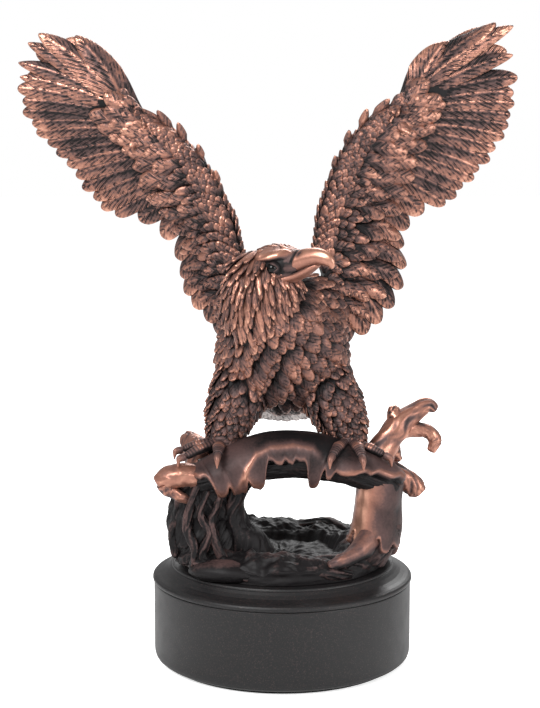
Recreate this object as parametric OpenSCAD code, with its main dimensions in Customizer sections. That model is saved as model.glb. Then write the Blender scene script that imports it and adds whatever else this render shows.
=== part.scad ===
// Bronze statuette of an eagle alighting on a looped piece of driftwood, on a turned black plinth.
// Millimetres, +Z up, front towards -Y. The origin is the centre of the felt's underside.
// "left" and "right" are as seen from the front: left is -X.

/* [Plinth] */
// Diameter of the plinth's drum
plinth_d = 120; // [104:2:150]
// Height of the seat for the sculpture, above the table
plinth_h = 46; // [38:1:60]
// Thickness of the felt disc
felt_t = 1.5; // [1:0.5:3]
// Height of the moulded cove above the drum
cove_h = 8; // [6:1:12]
// Diameter of the flat seat on top
seat_d = 101; // [84:1:104]

/* [Fixings] */
// Diameter of the studs that hold the driftwood to the plinth
stud_d = 6; // [4:1:8]
// Distance between the two studs
stud_gap = 60; // [52:1:66]
// Depth of the counterbores under the plinth
counterbore_depth = 18; // [14:1:24]
// Thickness of the washers
washer_t = 1.6; // [1:0.2:2.4]
// Height of the nuts
nut_h = 5; // [4:0.5:6]
// Diameter of the dowel pins between the large castings
dowel_d = 4; // [3:0.5:5]
// Diameter of the dowel pins in the slender castings
small_dowel_d = 2.6; // [2:0.2:3.2]

/* [Driftwood] */
// Radius of the driftwood's foot where it sits on the plinth
foot_r = 48; // [40:1:50]
// Height of the crown limb's middle above the plinth
arch_h = 53.5; // [46:0.5:66]
// Half the height of the crown limb at its thickest
crown_rz = 11.5; // [9:0.5:14]
// Half the depth of the crown limb, front to back
crown_ry = 14.5; // [12:0.5:17]

/* [Eagle] */
// Length of a wing, from its shoulder to its highest tip
wing_len = 130; // [104:1:156]
// Thickness of a flight feather
feather_t = 2.6; // [2:0.2:4]
// Length of the tail fan
tail_len = 40; // [32:1:48]
// Diameter of the eyes
eye_d = 5; // [4:0.5:6]
// Gap left between two castings where they are fitted together
fit = 0.15; // [0.1:0.05:0.3]

/* [Hidden] */

black_lacquer = "#1c1b1b";
felt_green = "#20231f";
steel = "#9a9a98";
dark_bronze = "#2e211d";
bronze = "#7a4a38";
bright_bronze = "#b0714f";
eye_black = "#060606";

drum_h = plinth_h - cove_h;
lip_r = 3.2;            // rounding of the cove's lower lip
edge_r = 3;             // rounding of the plinth's bottom edge
felt_inset = 2;         // how far the felt stops inside the drum
stud_clear = 0.3;       // radial clearance of a stud in the plinth
thread_clear = 0.05;    // radial clearance of a stud in its nut or casting
stud_bite = 6;          // length of a stud inside the driftwood
washer_r = stud_d / 2 + 5;
counterbore_r = washer_r + 1.5;
nut_af = stud_d * 5 / 3;
nut_r = nut_af / 2 / cos(30);
pin_clear = 0.1;        // radial clearance of a dowel in its hole
bead_fn = 12;           // facets round a rounded lump
vane_fn = 8;            // facets round a feather's edge
toe_fn = 8;             // facets round a toe

seat_z = plinth_h;
crown_z = plinth_h + arch_h;         // middle of the crown limb
crown_top = crown_z + crown_rz;
// The eagle is laid out for a crown limb whose top is at this height, and lifted with it.
laid_out_top = 111;
lift = crown_top - laid_out_top;
laid_out_wing = 130;
ws = wing_len / laid_out_wing;
laid_out_tail = 40;

// ---- Helpers ----

// A rounded lump at p = [x, y, z, rx, ry, rz], or [x, y, z, r], made larger all round by g.
module bead(p, g = 0, fn = bead_fn) {
    rx = p[3];
    ry = p[4] == undef ? rx : p[4];
    rz = p[5] == undef ? rx : p[5];
    translate([p[0], p[1], p[2]])
        scale([rx + g, ry + g, rz + g])
            sphere(r = 1, $fn = fn);
}

// A limb through a list of beads, each joined to the next.
module chain(list, g = 0, fn = bead_fn) {
    for (i = [0:len(list) - 2])
        hull() {
            bead(list[i], g, fn);
            bead(list[i + 1], g, fn);
        }
}

// A round pin from point a to point b.
module pin_between(a, b, r) {
    v = b - a;
    translate(a)
        rotate([0, acos(v[2] / norm(v)), atan2(v[1], v[0])])
            cylinder(h = norm(v), r = r, $fn = 32);
}

// One pin for each [from, to] pair in the list, of diameter d and made larger by g.
module pins(list, d, g = 0) {
    for (p = list) pin_between(p[0], p[1], d / 2 + g);
}

function raised(p, dz) = [for (i = [0:len(p) - 1]) i == 2 ? p[i] + dz : p[i]];
function raise_all(list, dz) = [for (p = list) raised(p, dz)];

// ---- Plinth and its fixings ----

module plinth() {
    drum_r = plinth_d / 2;
    seat_r = seat_d / 2;
    lip_z = drum_h + 1;
    cove_steps = 8;
    color(black_lacquer)
        difference() {
            rotate_extrude($fn = 96)
                polygon(concat(
                    [[0, felt_t], [drum_r - edge_r, felt_t]],
                    [for (a = [-75:15:0]) [drum_r - edge_r + edge_r * cos(a),
                        felt_t + edge_r + edge_r * sin(a)]],
                    [[drum_r, drum_h], [drum_r - 0.5, drum_h + 0.4]],
                    [for (a = [-30:15:75]) [drum_r - lip_r + 0.6 + lip_r * cos(a),
                        lip_z + lip_r / 2 + lip_r / 2 * sin(a)]],
                    // A quarter of an ellipse, hollow towards the outside, up to the seat.
                    [for (i = [1:cove_steps]) let(a = 90 * i / cove_steps)
                        [drum_r - lip_r - (drum_r - lip_r - seat_r) * sin(a),
                         plinth_h - 0.6 - (plinth_h - 0.6 - lip_z - lip_r) * cos(a)]],
                    [[seat_r, plinth_h], [0, plinth_h]]));
            for (s = [-1, 1])
                translate([s * stud_gap / 2, 0, 0]) {
                    cylinder(h = plinth_h * 3, r = stud_d / 2 + stud_clear, center = true, $fn = 48);
                    translate([0, 0, -1])
                        cylinder(h = felt_t + counterbore_depth + 1, r = counterbore_r, $fn = 48);
                }
        }
}

module felt_disc() {
    color(felt_green)
        cylinder(h = felt_t, r = plinth_d / 2 - edge_r - felt_inset, $fn = 96);
}

counterbore_top = felt_t + counterbore_depth;
nut_top = counterbore_top - washer_t;
stud_foot = nut_top - nut_h - 1.5;

module at_studs() {
    for (s = [-1, 1])
        translate([s * stud_gap / 2, 0, 0])
            children();
}

module mounting_studs() {
    color(steel)
        at_studs()
            translate([0, 0, stud_foot])
                cylinder(h = seat_z + stud_bite - stud_foot, r = stud_d / 2, $fn = 48);
}

module washers() {
    color(steel)
        at_studs()
            translate([0, 0, nut_top])
                difference() {
                    cylinder(h = washer_t, r = washer_r, $fn = 48);
                    translate([0, 0, -1])
                        cylinder(h = washer_t + 2, r = stud_d / 2 + stud_clear, $fn = 48);
                }
}

module nuts() {
    color(steel)
        at_studs()
            translate([0, 0, nut_top - nut_h])
                difference() {
                    cylinder(h = nut_h, r = nut_r, $fn = 6);
                    translate([0, 0, -1])
                        cylinder(h = nut_h + 2, r = stud_d / 2 + thread_clear, $fn = 48);
                }
}

// ---- Driftwood ----

// Lumps round the rim of the foot. The rim is higher at the back and over the left side.
rim_r = foot_r - 13;
rim = [for (k = [0:10]) let(a = 36 * k)
    [rim_r * cos(a), rim_r * sin(a), seat_z + 1.5, 13, 13, 6.5 - 0.8 * sin(a) - 0.6 * cos(a)]];
roots = [[-35, -26, 55, 6], [-17, -36, 54, 6], [4, -39, 52, 6],
    [22, -35, 51, 6], [35, -26, 50, 6]];
stone = [-24, -36, 50, 19, 9, 5.5];
laid_out_seat = 46;

module driftwood_foot_form() {
    dz = seat_z - laid_out_seat;
    intersection() {
        union() {
            chain(rim);
            chain(raise_all(roots, dz));
            bead(raised(stone, dz), 0, 16);
            translate([0, 0, seat_z])
                cylinder(h = 3, r = foot_r - 0.8, $fn = 48);
            translate([0, 0, seat_z])
                cylinder(h = 5, r = rim_r, $fn = 24);
        }
        translate([0, 0, seat_z])
            cylinder(h = 60, r = foot_r, $fn = 48);
    }
}

module driftwood_foot() {
    color(dark_bronze)
        difference() {
            driftwood_foot_form();
            left_trunk_form(fit);
            right_limb_form(fit);
            at_studs()
                translate([0, 0, seat_z - 1])
                    cylinder(h = stud_bite + 1.5, r = stud_d / 2 + thread_clear * 2, $fn = 24);
            pins(trunk_dowel_list, dowel_d, pin_clear);
        }
}

// Heights in the trunk and the right limb stretch with the arch, up to where they meet the crown; what
// is above that keeps its distance from the crown. This maps a laid-out height.
crown_joint = 80;
function perch(z) = z > crown_joint ? z + lift :
    seat_z + (z - laid_out_seat) * (crown_joint + lift - seat_z) / (crown_joint - laid_out_seat);
function perched(list) = [for (p = list) [p[0], p[1], perch(p[2]), p[3], p[4], p[5]]];

trunk = [[-33, -17, 58, 16, 13, 8], [-35, -18, 66, 15.5, 11.5, 8], [-35, -20, 76, 13.5, 10.5, 8],
    [-33, -22, 86, 12, 10, 7]];
trunk_stems = [[-42, -12, 58, 7, 8, 7], [-47, -14, 67, 6.5, 7, 6], [-45, -19, 78, 5, 7, 6],
    [-43, -24, 87, 6, 7, 5]];
trunk_inner = [[-14, -20, 56, 10, 10, 6], [-21, -19, 65, 6.5, 9, 7], [-23, -20, 78, 5, 8, 7],
    [-18, -21, 91, 6, 9, 5]];

module left_trunk_form(g = 0) {
    chain(perched(trunk), g);
    chain(perched(trunk_stems), g, 10);
    chain(perched(trunk_inner), g, 10);
}

module left_trunk() {
    color(dark_bronze)
        difference() {
            left_trunk_form();
            crown_limb_form(fit);
            burl_form(fit);
            rear_stub_form(fit);
            pins(trunk_dowel_list, dowel_d, pin_clear);
            pins(crown_dowel_list, dowel_d, pin_clear);
        }
}

// The limb is as deep as the crown that it carries, less a step on each side.
limb_ry = crown_ry - 2.5;
limb = [[44, -20, 84, 10, limb_ry, 6], [43.5, -19, 76, 10.5, limb_ry - 0.5, 8], [43, -18, 66, 11, 12, 8],
    [39, -18, 57, 11.5, 13, 7]];
limb_claw = [[42, -24, 60, 6.5, 8, 6], [35, -32, 57, 6, 6, 5], [28, -37, 54.5, 5, 5, 4.5],
    [22, -39, 53.5, 3.5, 4, 4]];
limb_knob = [[46, -14, 64, 7.5, 9, 8], [47, -6, 60, 7, 8, 7.5], [42, 3, 54, 7, 8, 6]];

module right_limb_form(g = 0) {
    chain(perched(limb), g);
    chain(perched(limb_claw), g, 10);
    chain(perched(limb_knob), g, 10);
}

module right_limb() {
    color(bronze)
        difference() {
            intersection() {
                right_limb_form();
                translate([0, 0, seat_z])
                    cylinder(h = 120, r = foot_r + 22, $fn = 48);
            }
            crown_limb_form(fit);
            antler_branch_form(fit);
            stub_branch_form(fit);
            pins(trunk_dowel_list, dowel_d, pin_clear);
            pins(crown_dowel_list, dowel_d, pin_clear);
            pins(branch_pin_list, small_dowel_d, pin_clear);
        }
}

// Path of the crown limb: x, y, drop, width, and its depth and height as shares. Its top side stays under
// the feet when its height changes.
laid_out_rz = 11.5;
crown_path = [[-40, -27, 10, 8, 0.62, 0.6], [-30, -25, 7, 9, 0.85, 0.75], [-18, -22, 3, 9, 0.95, 0.9],
    [-6, -20, 0.5, 9, 1, 1], [6, -19, 0, 9, 1, 1], [19, -20, 1.5, 9, 1, 0.96], [31, -22, 4.5, 9, 0.96, 0.86],
    [42, -22, 8.5, 9, 0.88, 0.8], [48, -20, 14, 8, 0.8, 0.75]];
crown = [for (p = crown_path) [p[0], p[1], crown_top - p[2] - laid_out_rz * (1 - p[5]) - crown_rz * p[5], p[3],
    crown_ry * p[4], crown_rz * p[5]]];

module crown_limb_form(g = 0) {
    chain(crown, g);
}

module crown_limb() {
    color(bronze)
        difference() {
            crown_limb_form();
            burl_form(fit);
            antler_branch_form(fit);
            stub_branch_form(fit);
            rear_stub_form(fit);
            foot_form(left_foot, fit);
            foot_form(right_foot, fit);
            leg_form(left_leg, fit);
            leg_form(right_leg, fit);
            pins(crown_dowel_list, dowel_d, pin_clear);
            pins(branch_pin_list, small_dowel_d, pin_clear);
            pins(leg_rod_list, small_dowel_d, pin_clear);
        }
}

module burl_form(g = 0) {
    chain(raise_all([[-41, -28, 92, 5.5, 6.5, 5], [-47, -29, 92, 6.5, 7, 5.5], [-53, -29, 90, 5.5, 6, 5]], lift), g);
    chain(raise_all([[-53, -29, 90, 5, 6, 4], [-50, -28, 85, 5, 6, 3], [-44, -27, 82, 4, 5, 3]], lift), g, 10);
}

module burl() {
    color(bright_bronze)
        difference() {
            burl_form();
            pins(branch_pin_list, small_dowel_d, pin_clear);
        }
}

module antler_branch_form(g = 0) {
    chain(raise_all([[43, -11, 96, 8, 7, 6], [49, -8, 105, 6.5], [54, -6, 111, 6.5], [62, -4, 117, 4.2],
        [67, -3.5, 119.5, 3.8], [70.5, -3.5, 117.5, 2]], lift), g);
    chain(raise_all([[53, -6, 110, 6], [51.5, -5, 117, 2.6]], lift), g);
    chain(raise_all([[54, -6, 110, 5.5], [61, -5.5, 109, 4], [67, -6, 108, 3.7], [70.5, -7, 103.5, 3.4],
        [68.5, -8, 99.5, 3]], lift), g);
    chain(raise_all([[50, -8, 101, 5], [54, -7, 95.5, 2.2]], lift), g, 10);
}

module antler_branch() {
    color(bright_bronze)
        difference() {
            antler_branch_form();
            pins(branch_pin_list, small_dowel_d, pin_clear);
        }
}

// The stub stands off the crown's side by the same amount however deep the crown is.
laid_out_ry = 14.5;
stub_out = crown_ry - laid_out_ry;

module stub_branch_form(g = 0) {
    translate([0, stub_out, 0])
        chain(raise_all([[49, -11, 90, 5.5], [57, -9, 85.5, 5], [62.5, -8.5, 80.5, 5]], lift), g);
}

module stub_branch() {
    color(bronze)
        difference() {
            stub_branch_form();
            antler_branch_form(fit);
            pins(branch_pin_list, small_dowel_d, pin_clear);
        }
}

module rear_stub_form(g = 0) {
    chain(raise_all([[-37, -15, 92, 7, 8, 6], [-39, -6, 98, 7, 7, 6], [-43, 3, 102, 5]], lift), g);
}

module rear_stub() {
    color(bronze)
        difference() {
            rear_stub_form();
            pins(branch_pin_list, small_dowel_d, pin_clear);
        }
}

// ---- Eagle ----

body_blobs = [[2, 30, 124, 12, 10, 9], [1, 14, 131, 23, 17, 12], [0, -1, 138, 28, 21, 15],
    [1, -9, 148, 27, 22, 16], [0, -13, 159, 23, 19, 13], [-3, -19, 167, 17, 16, 10]];
back_blobs = [[1, 14, 131, 22, 15, 12], [0, 10, 148, 20, 14, 14], [0, 4, 162, 16, 12, 12]];
shoulders = [[-18, 0, 163, 8, 9, 12], [0, -4, 162, 18, 15, 12], [18, 0, 163, 8, 9, 12]];

module eagle_body_form() {
    chain(raise_all(body_blobs, lift));
    chain(raise_all(back_blobs, lift));
    chain(raise_all(shoulders, lift));
}

module eagle_body() {
    color(bronze)
        difference() {
            eagle_body_form();
            eagle_head_form(fit);
            wing_form(left_wing, fit);
            wing_form(right_wing, fit);
            leg_form(left_leg, fit);
            leg_form(right_leg, fit);
            tail_form(fit);
            pins(wing_pin_list, dowel_d, pin_clear);
            pins(hip_pin_list, dowel_d, pin_clear);
            pins(neck_pin_list, dowel_d, pin_clear);
            pins(tail_pin_list, dowel_d, pin_clear);
        }
}

neck = [[-5, -21, 163, 17, 16, 9], [-8, -25, 172, 15, 14.5, 10], [-6, -29, 182, 13, 13.5, 12],
    [-1, -32, 186, 10.5, 11, 10.5]];
beak = [[1, -35.5, 186.5, 7.5, 7.5, 7.5], [7, -40, 188.5, 5.6, 5.6, 6], [13, -44.5, 189.5, 4.6, 4.6, 5],
    [18, -48.5, 187.5, 3, 3, 3.8], [19.8, -50, 184.6, 1.3, 1.3, 1.6]];
jaw = [[1, -35.5, 181, 6, 6, 3.5], [11, -43, 184, 3, 3, 2.2]];
eye_spots = [[-4.6, -41.2, 186], [6.9, -22.9, 187]];

module eagle_head_form(g = 0) {
    chain(raise_all(neck, lift), g);
    chain(raise_all(beak, lift), g, 10);
    chain(raise_all(jaw, lift), g, 10);
}

module eagle_head() {
    color(bronze)
        difference() {
            eagle_head_form();
            eye_balls(fit);
            pins(neck_pin_list, dowel_d, pin_clear);
        }
}

module eye_balls(g = 0) {
    for (e = eye_spots)
        translate(raised(e, lift))
            sphere(r = eye_d / 2 + g, $fn = 24);
}

module eyes() {
    color(eye_black)
        eye_balls();
}

// A wing is its shoulder, the line of its arm, and the share along the arm and the tip of each
// flight feather, from the leading one down to the innermost. Places are measured from the shoulder.
left_shoulder = [-18, 2, 166];
right_shoulder = [18, 2, 166];
left_wing = [left_shoulder,
    [[-4, 2, 0, 8, 7, 9], [-5, 3, 17, 7.5, 5.5, 8], [-10, 4, 35, 7.5, 5, 8], [-18, 5, 52, 7.5, 4.5, 8],
     [-27, 7, 66, 7, 4, 8], [-38, 9, 78, 6.5, 3.5, 7], [-48, 11, 87, 6, 3, 6]],
    [0.98, 1, 0.97, 0.92, 0.86, 0.8, 0.73, 0.65, 0.57, 0.49, 0.41, 0.33, 0.25, 0.16, 0.07],
    [[-77, 18, 122], [-94, 20, 123], [-103, 22, 112], [-105, 24, 99], [-102, 26, 86], [-94, 27, 75],
     [-83, 28, 63], [-74, 28, 50], [-62, 27, 40], [-46, 26, 35], [-34, 24, 22], [-30, 20, 10],
     [-27, 17, 0], [-19, 14, -8], [-12, 12, -16]]];
right_wing = [right_shoulder,
    [[3, 2, 0, 8, 7, 9], [1, 3, 16, 7.5, 5.5, 8], [4, 4, 34, 7.5, 5, 8], [9, 5, 51, 7.5, 4.5, 8],
     [16, 7, 67, 7, 4, 8], [26, 9, 81, 6.5, 3.5, 7], [37, 11, 92, 6, 3, 6]],
    [0.98, 1, 0.98, 0.95, 0.9, 0.84, 0.78, 0.71, 0.64, 0.57, 0.5, 0.42, 0.34, 0.26, 0.18, 0.1],
    [[56, 18, 119], [73, 20, 124], [87, 22, 129], [91, 24, 104], [90, 26, 90], [87, 27, 78],
     [79, 28, 65], [70, 28, 55], [60, 28, 45], [47, 27, 38], [41, 25, 27], [42, 22, 14],
     [39, 18, 1], [31, 15, -10], [22, 13, -17], [10, 11, -22]]];

// The point a share of the way along a line of beads.
function along(line, share) =
    let(x = share * (len(line) - 1), i = min(floor(x), len(line) - 2), a = line[i], b = line[i + 1])
    [for (k = [0:2]) a[k] + (b[k] - a[k]) * (x - i)];

// Half the width of flight feather i out of n: broad in the hand, narrower towards the body.
function vane_half(i, n) = 8.6 - 1.8 * i / n;

module flight_feather(root, tip, half, g) {
    reach = (tip - root) / norm(tip - root);
    last = tip - reach * half * 0.72;
    mid = root + (tip - root) * 0.6 + [0, -1.5, 0];
    t = feather_t / 2;
    hull() {
        bead(concat(root, [3, t, 3]), g, vane_fn);
        bead(concat(mid, [half, t, half]), g, vane_fn);
        bead(concat(last, [half * 0.72, t * 0.7, half * 0.72]), g, vane_fn);
    }
}

module wing_form(w, g = 0) {
    arm = w[1];
    shares = w[2];
    tips = w[3];
    n = len(tips);
    translate(raised(w[0], lift)) {
        chain([for (p = arm) [p[0] * ws, p[1] * ws, p[2] * ws, p[3], p[4], p[5]]], g, 10);
        for (i = [0:n - 1])
            flight_feather(along(arm, shares[i]) * ws, tips[i] * ws, vane_half(i, n) * ws, g);
        // Coverts: a thicker layer from the arm over the inner half of the feathers.
        for (i = [0:3:n - 4])
            hull()
                for (k = [i, i + 3]) {
                    root = along(arm, shares[k]);
                    cover = (root + (tips[k] - root) * 0.5) * ws + [0, -1, 0];
                    bead(concat(root * ws, [4, 3.6, 4]), g, vane_fn);
                    bead(concat(cover, [4, 2.2, 4]), g, vane_fn);
                }
    }
}

module wing_left() {
    color(bronze)
        difference() {
            wing_form(left_wing);
            eagle_head_form(fit);
            pins(wing_pin_list, dowel_d, pin_clear);
        }
}

module wing_right() {
    color(bronze)
        difference() {
            wing_form(right_wing);
            eagle_head_form(fit);
            pins(wing_pin_list, dowel_d, pin_clear);
        }
}

// The tail is a fan of feathers from one root, laid flat and then tipped down to the back.
tail_root = [2, 30, 122];
tail_tilt = -31;
tail_feathers = 7;
tail_spread = 54;

module tail_form(g = 0) {
    translate(raised(tail_root, lift))
        rotate([tail_tilt, 0, 0]) {
            for (i = [0:tail_feathers - 1]) {
                a = tail_spread * (i / (tail_feathers - 1) - 0.5);
                reach = tail_len * (1 - 0.06 * abs(a) / 30);
                hull() {
                    bead([0, 2, 0, 6, 5, 4], g, vane_fn);
                    rotate([0, 0, a])
                        bead([0, reach * 0.6, 0, 5.5, 8, feather_t / 2], g, vane_fn);
                    rotate([0, 0, a])
                        bead([0, reach - 4, 0, 4, 4, feather_t / 2], g, vane_fn);
                }
            }
        }
}

module tail() {
    color(dark_bronze)
        difference() {
            tail_form();
            pins(tail_pin_list, dowel_d, pin_clear);
        }
}

left_leg = [[-18, -6, 131, 11, 12, 10], [-22, -9, 121, 10.5, 11.5, 8], [-25, -13, 113, 8.5, 9.5, 6],
    [-27, -17, 107.5, 5.5, 6, 4]];
right_leg = [[19, -6, 131, 11, 12, 10], [24, -9, 121, 11, 11.5, 8], [28.5, -13, 113, 8.5, 9.5, 6],
    [31, -17, 107.5, 5.5, 6, 4]];

module leg_form(leg, g = 0) {
    chain(raise_all(leg, lift), g);
}

module leg(which, feet) {
    color(bronze)
        difference() {
            leg_form(which);
            foot_form(feet, fit);
            pins(hip_pin_list, dowel_d, pin_clear);
            pins(leg_rod_list, small_dowel_d, pin_clear);
        }
}

module leg_left() leg(left_leg, left_foot);
module leg_right() leg(right_leg, right_foot);

// A foot is its palm and then its toes, each a run of beads from the palm to the claw's point.
left_foot = [[-27.5, -19, 105, 5, 5.5, 4],
    [[-29, -21, 105, 3.4], [-37, -27, 104, 3], [-43.5, -31, 101, 2.7], [-47, -34, 98, 1]],
    [[-29, -18, 105.5, 3.2], [-38, -22, 105, 2.8], [-45, -24.5, 103, 2.5], [-49, -27, 100, 1]],
    [[-28, -21, 105, 3.4], [-28.6, -30, 105, 3.2], [-28.8, -37, 103, 2.9], [-29, -41, 98.5, 1]],
    [[-27, -16, 105, 3], [-26, -9, 103, 2.6], [-25.5, -4, 98.5, 1]]];
right_foot = [[30.5, -19, 105, 5, 5.5, 4],
    [[29, -21, 105.5, 3.4], [25, -29, 105, 3.2], [22, -36, 102.5, 2.9], [20.5, -40, 98, 1]],
    [[31, -21, 105.5, 3.4], [33.5, -30, 105, 3.2], [35, -37, 102, 2.9], [35.6, -41, 97.5, 1]],
    [[32, -19, 105, 3.2], [39.5, -24, 103.5, 2.9], [45.5, -27, 101, 2.6], [49, -29.5, 97, 1]],
    [[31, -16, 105, 3], [32, -9, 103, 2.6], [32.5, -4, 98.5, 1]]];

module foot_form(f, g = 0) {
    bead(raised(f[0], lift), g, toe_fn);
    for (i = [1:len(f) - 1])
        chain(raise_all(f[i], lift), g, toe_fn);
}

module foot(f) {
    color(bright_bronze)
        difference() {
            foot_form(f);
            pins(leg_rod_list, small_dowel_d, pin_clear);
        }
}

module foot_left() foot(left_foot);
module foot_right() foot(right_foot);

// ---- Pins ----

function mirrored_x(list) = concat(list, [for (p = list)
    [[-p[0][0], p[0][1], p[0][2]], [-p[1][0], p[1][1], p[1][2]]]]);
function lifted(list) = [for (p = list) [raised(p[0], lift), raised(p[1], lift)]];

trunk_dowel_list = [[[-33, -16, seat_z + 1.5], [-33, -16, seat_z + 18]],
    [[42, -14, seat_z + 1.5], [44, -18, seat_z + 18]]];
crown_dowel_list = [[[-28, -24, crown_z - 18], [-28, -24, crown_z - 1]],
    [[40, -21, crown_z - 22], [40, -21, crown_z - 5]]];
branch_pin_list = lifted([[[-33, -29, 90], [-48, -28.5, 91]], [[45.5, -17, 87], [47.5, -10, 103]],
    [[46, -24, 90], [57, -9.5, 86]], [[-31, -27, 95], [-38, -6, 98]]]);
leg_rod_list = lifted([[[-27.2, -18, 93], [-26, -15, 113]], [[30.8, -18, 93], [29, -15, 113]]]);
hip_pin_list = lifted(mirrored_x([[[-19, -7, 124], [-17, -5, 141]]]));
wing_pin_list = lifted(mirrored_x([[[-12, 2, 161], [-25, 4, 164]], [[-12, 2, 169], [-25, 4, 172]]]));
neck_pin_list = lifted([[[0, -13, 145], [-6, -23, 174]]]);
tail_pin_list = lifted([[[2, 20, 128], [2, 38, 115]]]);

module trunk_dowels() color(steel) pins(trunk_dowel_list, dowel_d);
module crown_dowels() color(steel) pins(crown_dowel_list, dowel_d);
module branch_pins() color(steel) pins(branch_pin_list, small_dowel_d);
module leg_rods() color(steel) pins(leg_rod_list, small_dowel_d);
module hip_pins() color(steel) pins(hip_pin_list, dowel_d);
module wing_pins() color(steel) pins(wing_pin_list, dowel_d);
module neck_pin() color(steel) pins(neck_pin_list, dowel_d);
module tail_pin() color(steel) pins(tail_pin_list, dowel_d);

// ---- Nodes ----

plinth();
felt_disc();
mounting_studs();
washers();
nuts();
driftwood_foot();
left_trunk();
right_limb();
crown_limb();
burl();
antler_branch();
stub_branch();
rear_stub();
eagle_body();
eagle_head();
eyes();
wing_left();
wing_right();
tail();
leg_left();
leg_right();
foot_left();
foot_right();
trunk_dowels();
crown_dowels();
branch_pins();
leg_rods();
hip_pins();
wing_pins();
neck_pin();
tail_pin();
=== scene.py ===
"""Looks of a bronze eagle alighting on a looped driftwood perch, on a turned black plinth."""

import logging
import math
from dataclasses import dataclass, field, replace
from enum import Enum
from functools import partial

import bpy
import numpy as np
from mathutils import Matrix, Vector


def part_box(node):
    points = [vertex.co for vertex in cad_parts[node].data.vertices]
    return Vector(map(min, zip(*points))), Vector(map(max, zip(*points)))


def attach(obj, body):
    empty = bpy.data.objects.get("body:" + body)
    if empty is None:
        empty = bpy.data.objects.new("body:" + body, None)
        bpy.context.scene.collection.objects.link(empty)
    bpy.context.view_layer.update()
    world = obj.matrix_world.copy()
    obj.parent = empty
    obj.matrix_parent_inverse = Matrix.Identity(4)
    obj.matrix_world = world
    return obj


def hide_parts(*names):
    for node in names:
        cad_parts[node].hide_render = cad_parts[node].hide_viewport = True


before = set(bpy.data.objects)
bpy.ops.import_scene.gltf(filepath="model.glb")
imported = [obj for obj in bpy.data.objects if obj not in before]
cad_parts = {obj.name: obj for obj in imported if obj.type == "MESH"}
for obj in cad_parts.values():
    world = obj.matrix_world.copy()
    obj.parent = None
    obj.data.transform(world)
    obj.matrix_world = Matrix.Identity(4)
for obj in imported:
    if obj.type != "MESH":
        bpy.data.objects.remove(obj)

Array = np.ndarray
Colour = tuple[float, float, float]
Point = tuple[float, float, float]
MM = 0.001
FULL_TURN = 6.2832
FINE_SCALE = 900.0
LOG = logging.getLogger("eagle")
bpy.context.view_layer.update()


class Slot(Enum):
    """The record's material slots, one for each real material."""

    PLINTH = "black_lacquer"
    FELT = "felt"
    STEEL = "steel"
    DARK_BRONZE = "dark_bronze"
    BRONZE = "bronze"
    EYE = "eye_black"


# ---------------------------------------------------------------- numbers and curves


def smoothstep(low: float, high: float, x: Array) -> Array:
    """Rise from 0 to 1 between two values, level at both ends: t squared times three minus twice t.

    Args:
        low: where the rise begins.
        high: where it ends.
        x: the values.

    Returns:
        The rise at each value.
    """
    t = np.clip((x - low) / (high - low), 0.0, 1.0)
    return t * t * (3.0 - 2.0 * t)


def bump(x: Array, centre: float, width: float) -> Array:
    """A bell curve: e to the minus square of the distance from centre over width.

    Args:
        x: the values.
        centre: where the bell peaks.
        width: its spread.

    Returns:
        The bell's height at each value.
    """
    return np.exp(-(((x - centre) / width) ** 2))


def unit(v: Array) -> Array:
    """Vectors scaled to length 1 along the last axis.

    Args:
        v: vectors.

    Returns:
        The unit vectors.
    """
    return v / np.maximum(np.linalg.norm(v, axis=-1, keepdims=True), 1e-12)


def noise(p: Array, seed: float = 0.0) -> Array:
    """Smooth value noise: each lattice corner has a hashed value, and the eight round a point are blended.

    Args:
        p: points, in lattice steps, along the last axis.
        seed: picks another pattern.

    Returns:
        Values from -1 to 1.
    """
    base = np.floor(p)
    f = p - base
    f = f * f * (3.0 - 2.0 * f)
    total = np.zeros(p.shape[:-1])
    for corner in np.ndindex(2, 2, 2):
        c = np.array(corner, float)
        spot = base + c
        h = np.sin(spot @ np.array([127.1, 311.7, 74.7]) + seed * 17.3) * 43758.5453
        weight = np.prod(np.where(c == 1.0, f, 1.0 - f), axis=-1)
        total += (h - np.floor(h)) * weight
    return 2.0 * total - 1.0


def rough(p: Array, seed: float = 0.0, octaves: int = 3) -> Array:
    """Layers of noise, each twice as fine and half as strong as the last.

    Args:
        p: points in lattice steps of the coarsest layer.
        seed: picks another pattern.
        octaves: how many layers.

    Returns:
        Values from about -1 to 1.
    """
    return sum(noise(p * 2.0**k, seed + k) * 0.5**k for k in range(octaves)) / 1.6


def curve(knots: Array, t: Array) -> Array:
    """A smooth curve through knots: each span is a cubic whose end slopes come from the knots either side.

    Args:
        knots: rows of numbers, such as x, y, z and radii.
        t: places along the curve, from 0 to 1.

    Returns:
        One row of numbers for each place.
    """
    knots = np.asarray(knots, float)
    last = len(knots) - 1
    x = np.clip(t, 0.0, 1.0) * last
    i = np.minimum(x.astype(int), last - 1)
    f = (x - i)[..., None]
    a, b = knots[np.maximum(i - 1, 0)], knots[i]
    c, d = knots[i + 1], knots[np.minimum(i + 2, last)]
    return 0.5 * (2 * b + (c - a) * f + (2 * a - 5 * b + 4 * c - d) * f**2 + (3 * b - a - 3 * c + d) * f**3)


def polyline(knots: Array, t: Array) -> Array:
    """Straight spans through knots.

    Args:
        knots: rows of numbers.
        t: places along the line, from 0 to 1.

    Returns:
        One row for each place.
    """
    knots = np.asarray(knots, float)
    x = np.clip(t, 0.0, 1.0) * (len(knots) - 1)
    i = np.minimum(x.astype(int), len(knots) - 2)
    f = (x - i)[..., None]
    return knots[i] * (1 - f) + knots[i + 1] * f


def spots(x: Array, y: Array | float = 0.0, z: Array | float = 0.0) -> Array:
    """Points for noise from up to three numbers."""
    return np.stack(np.broadcast_arrays(x, y, z), axis=-1)


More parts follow.
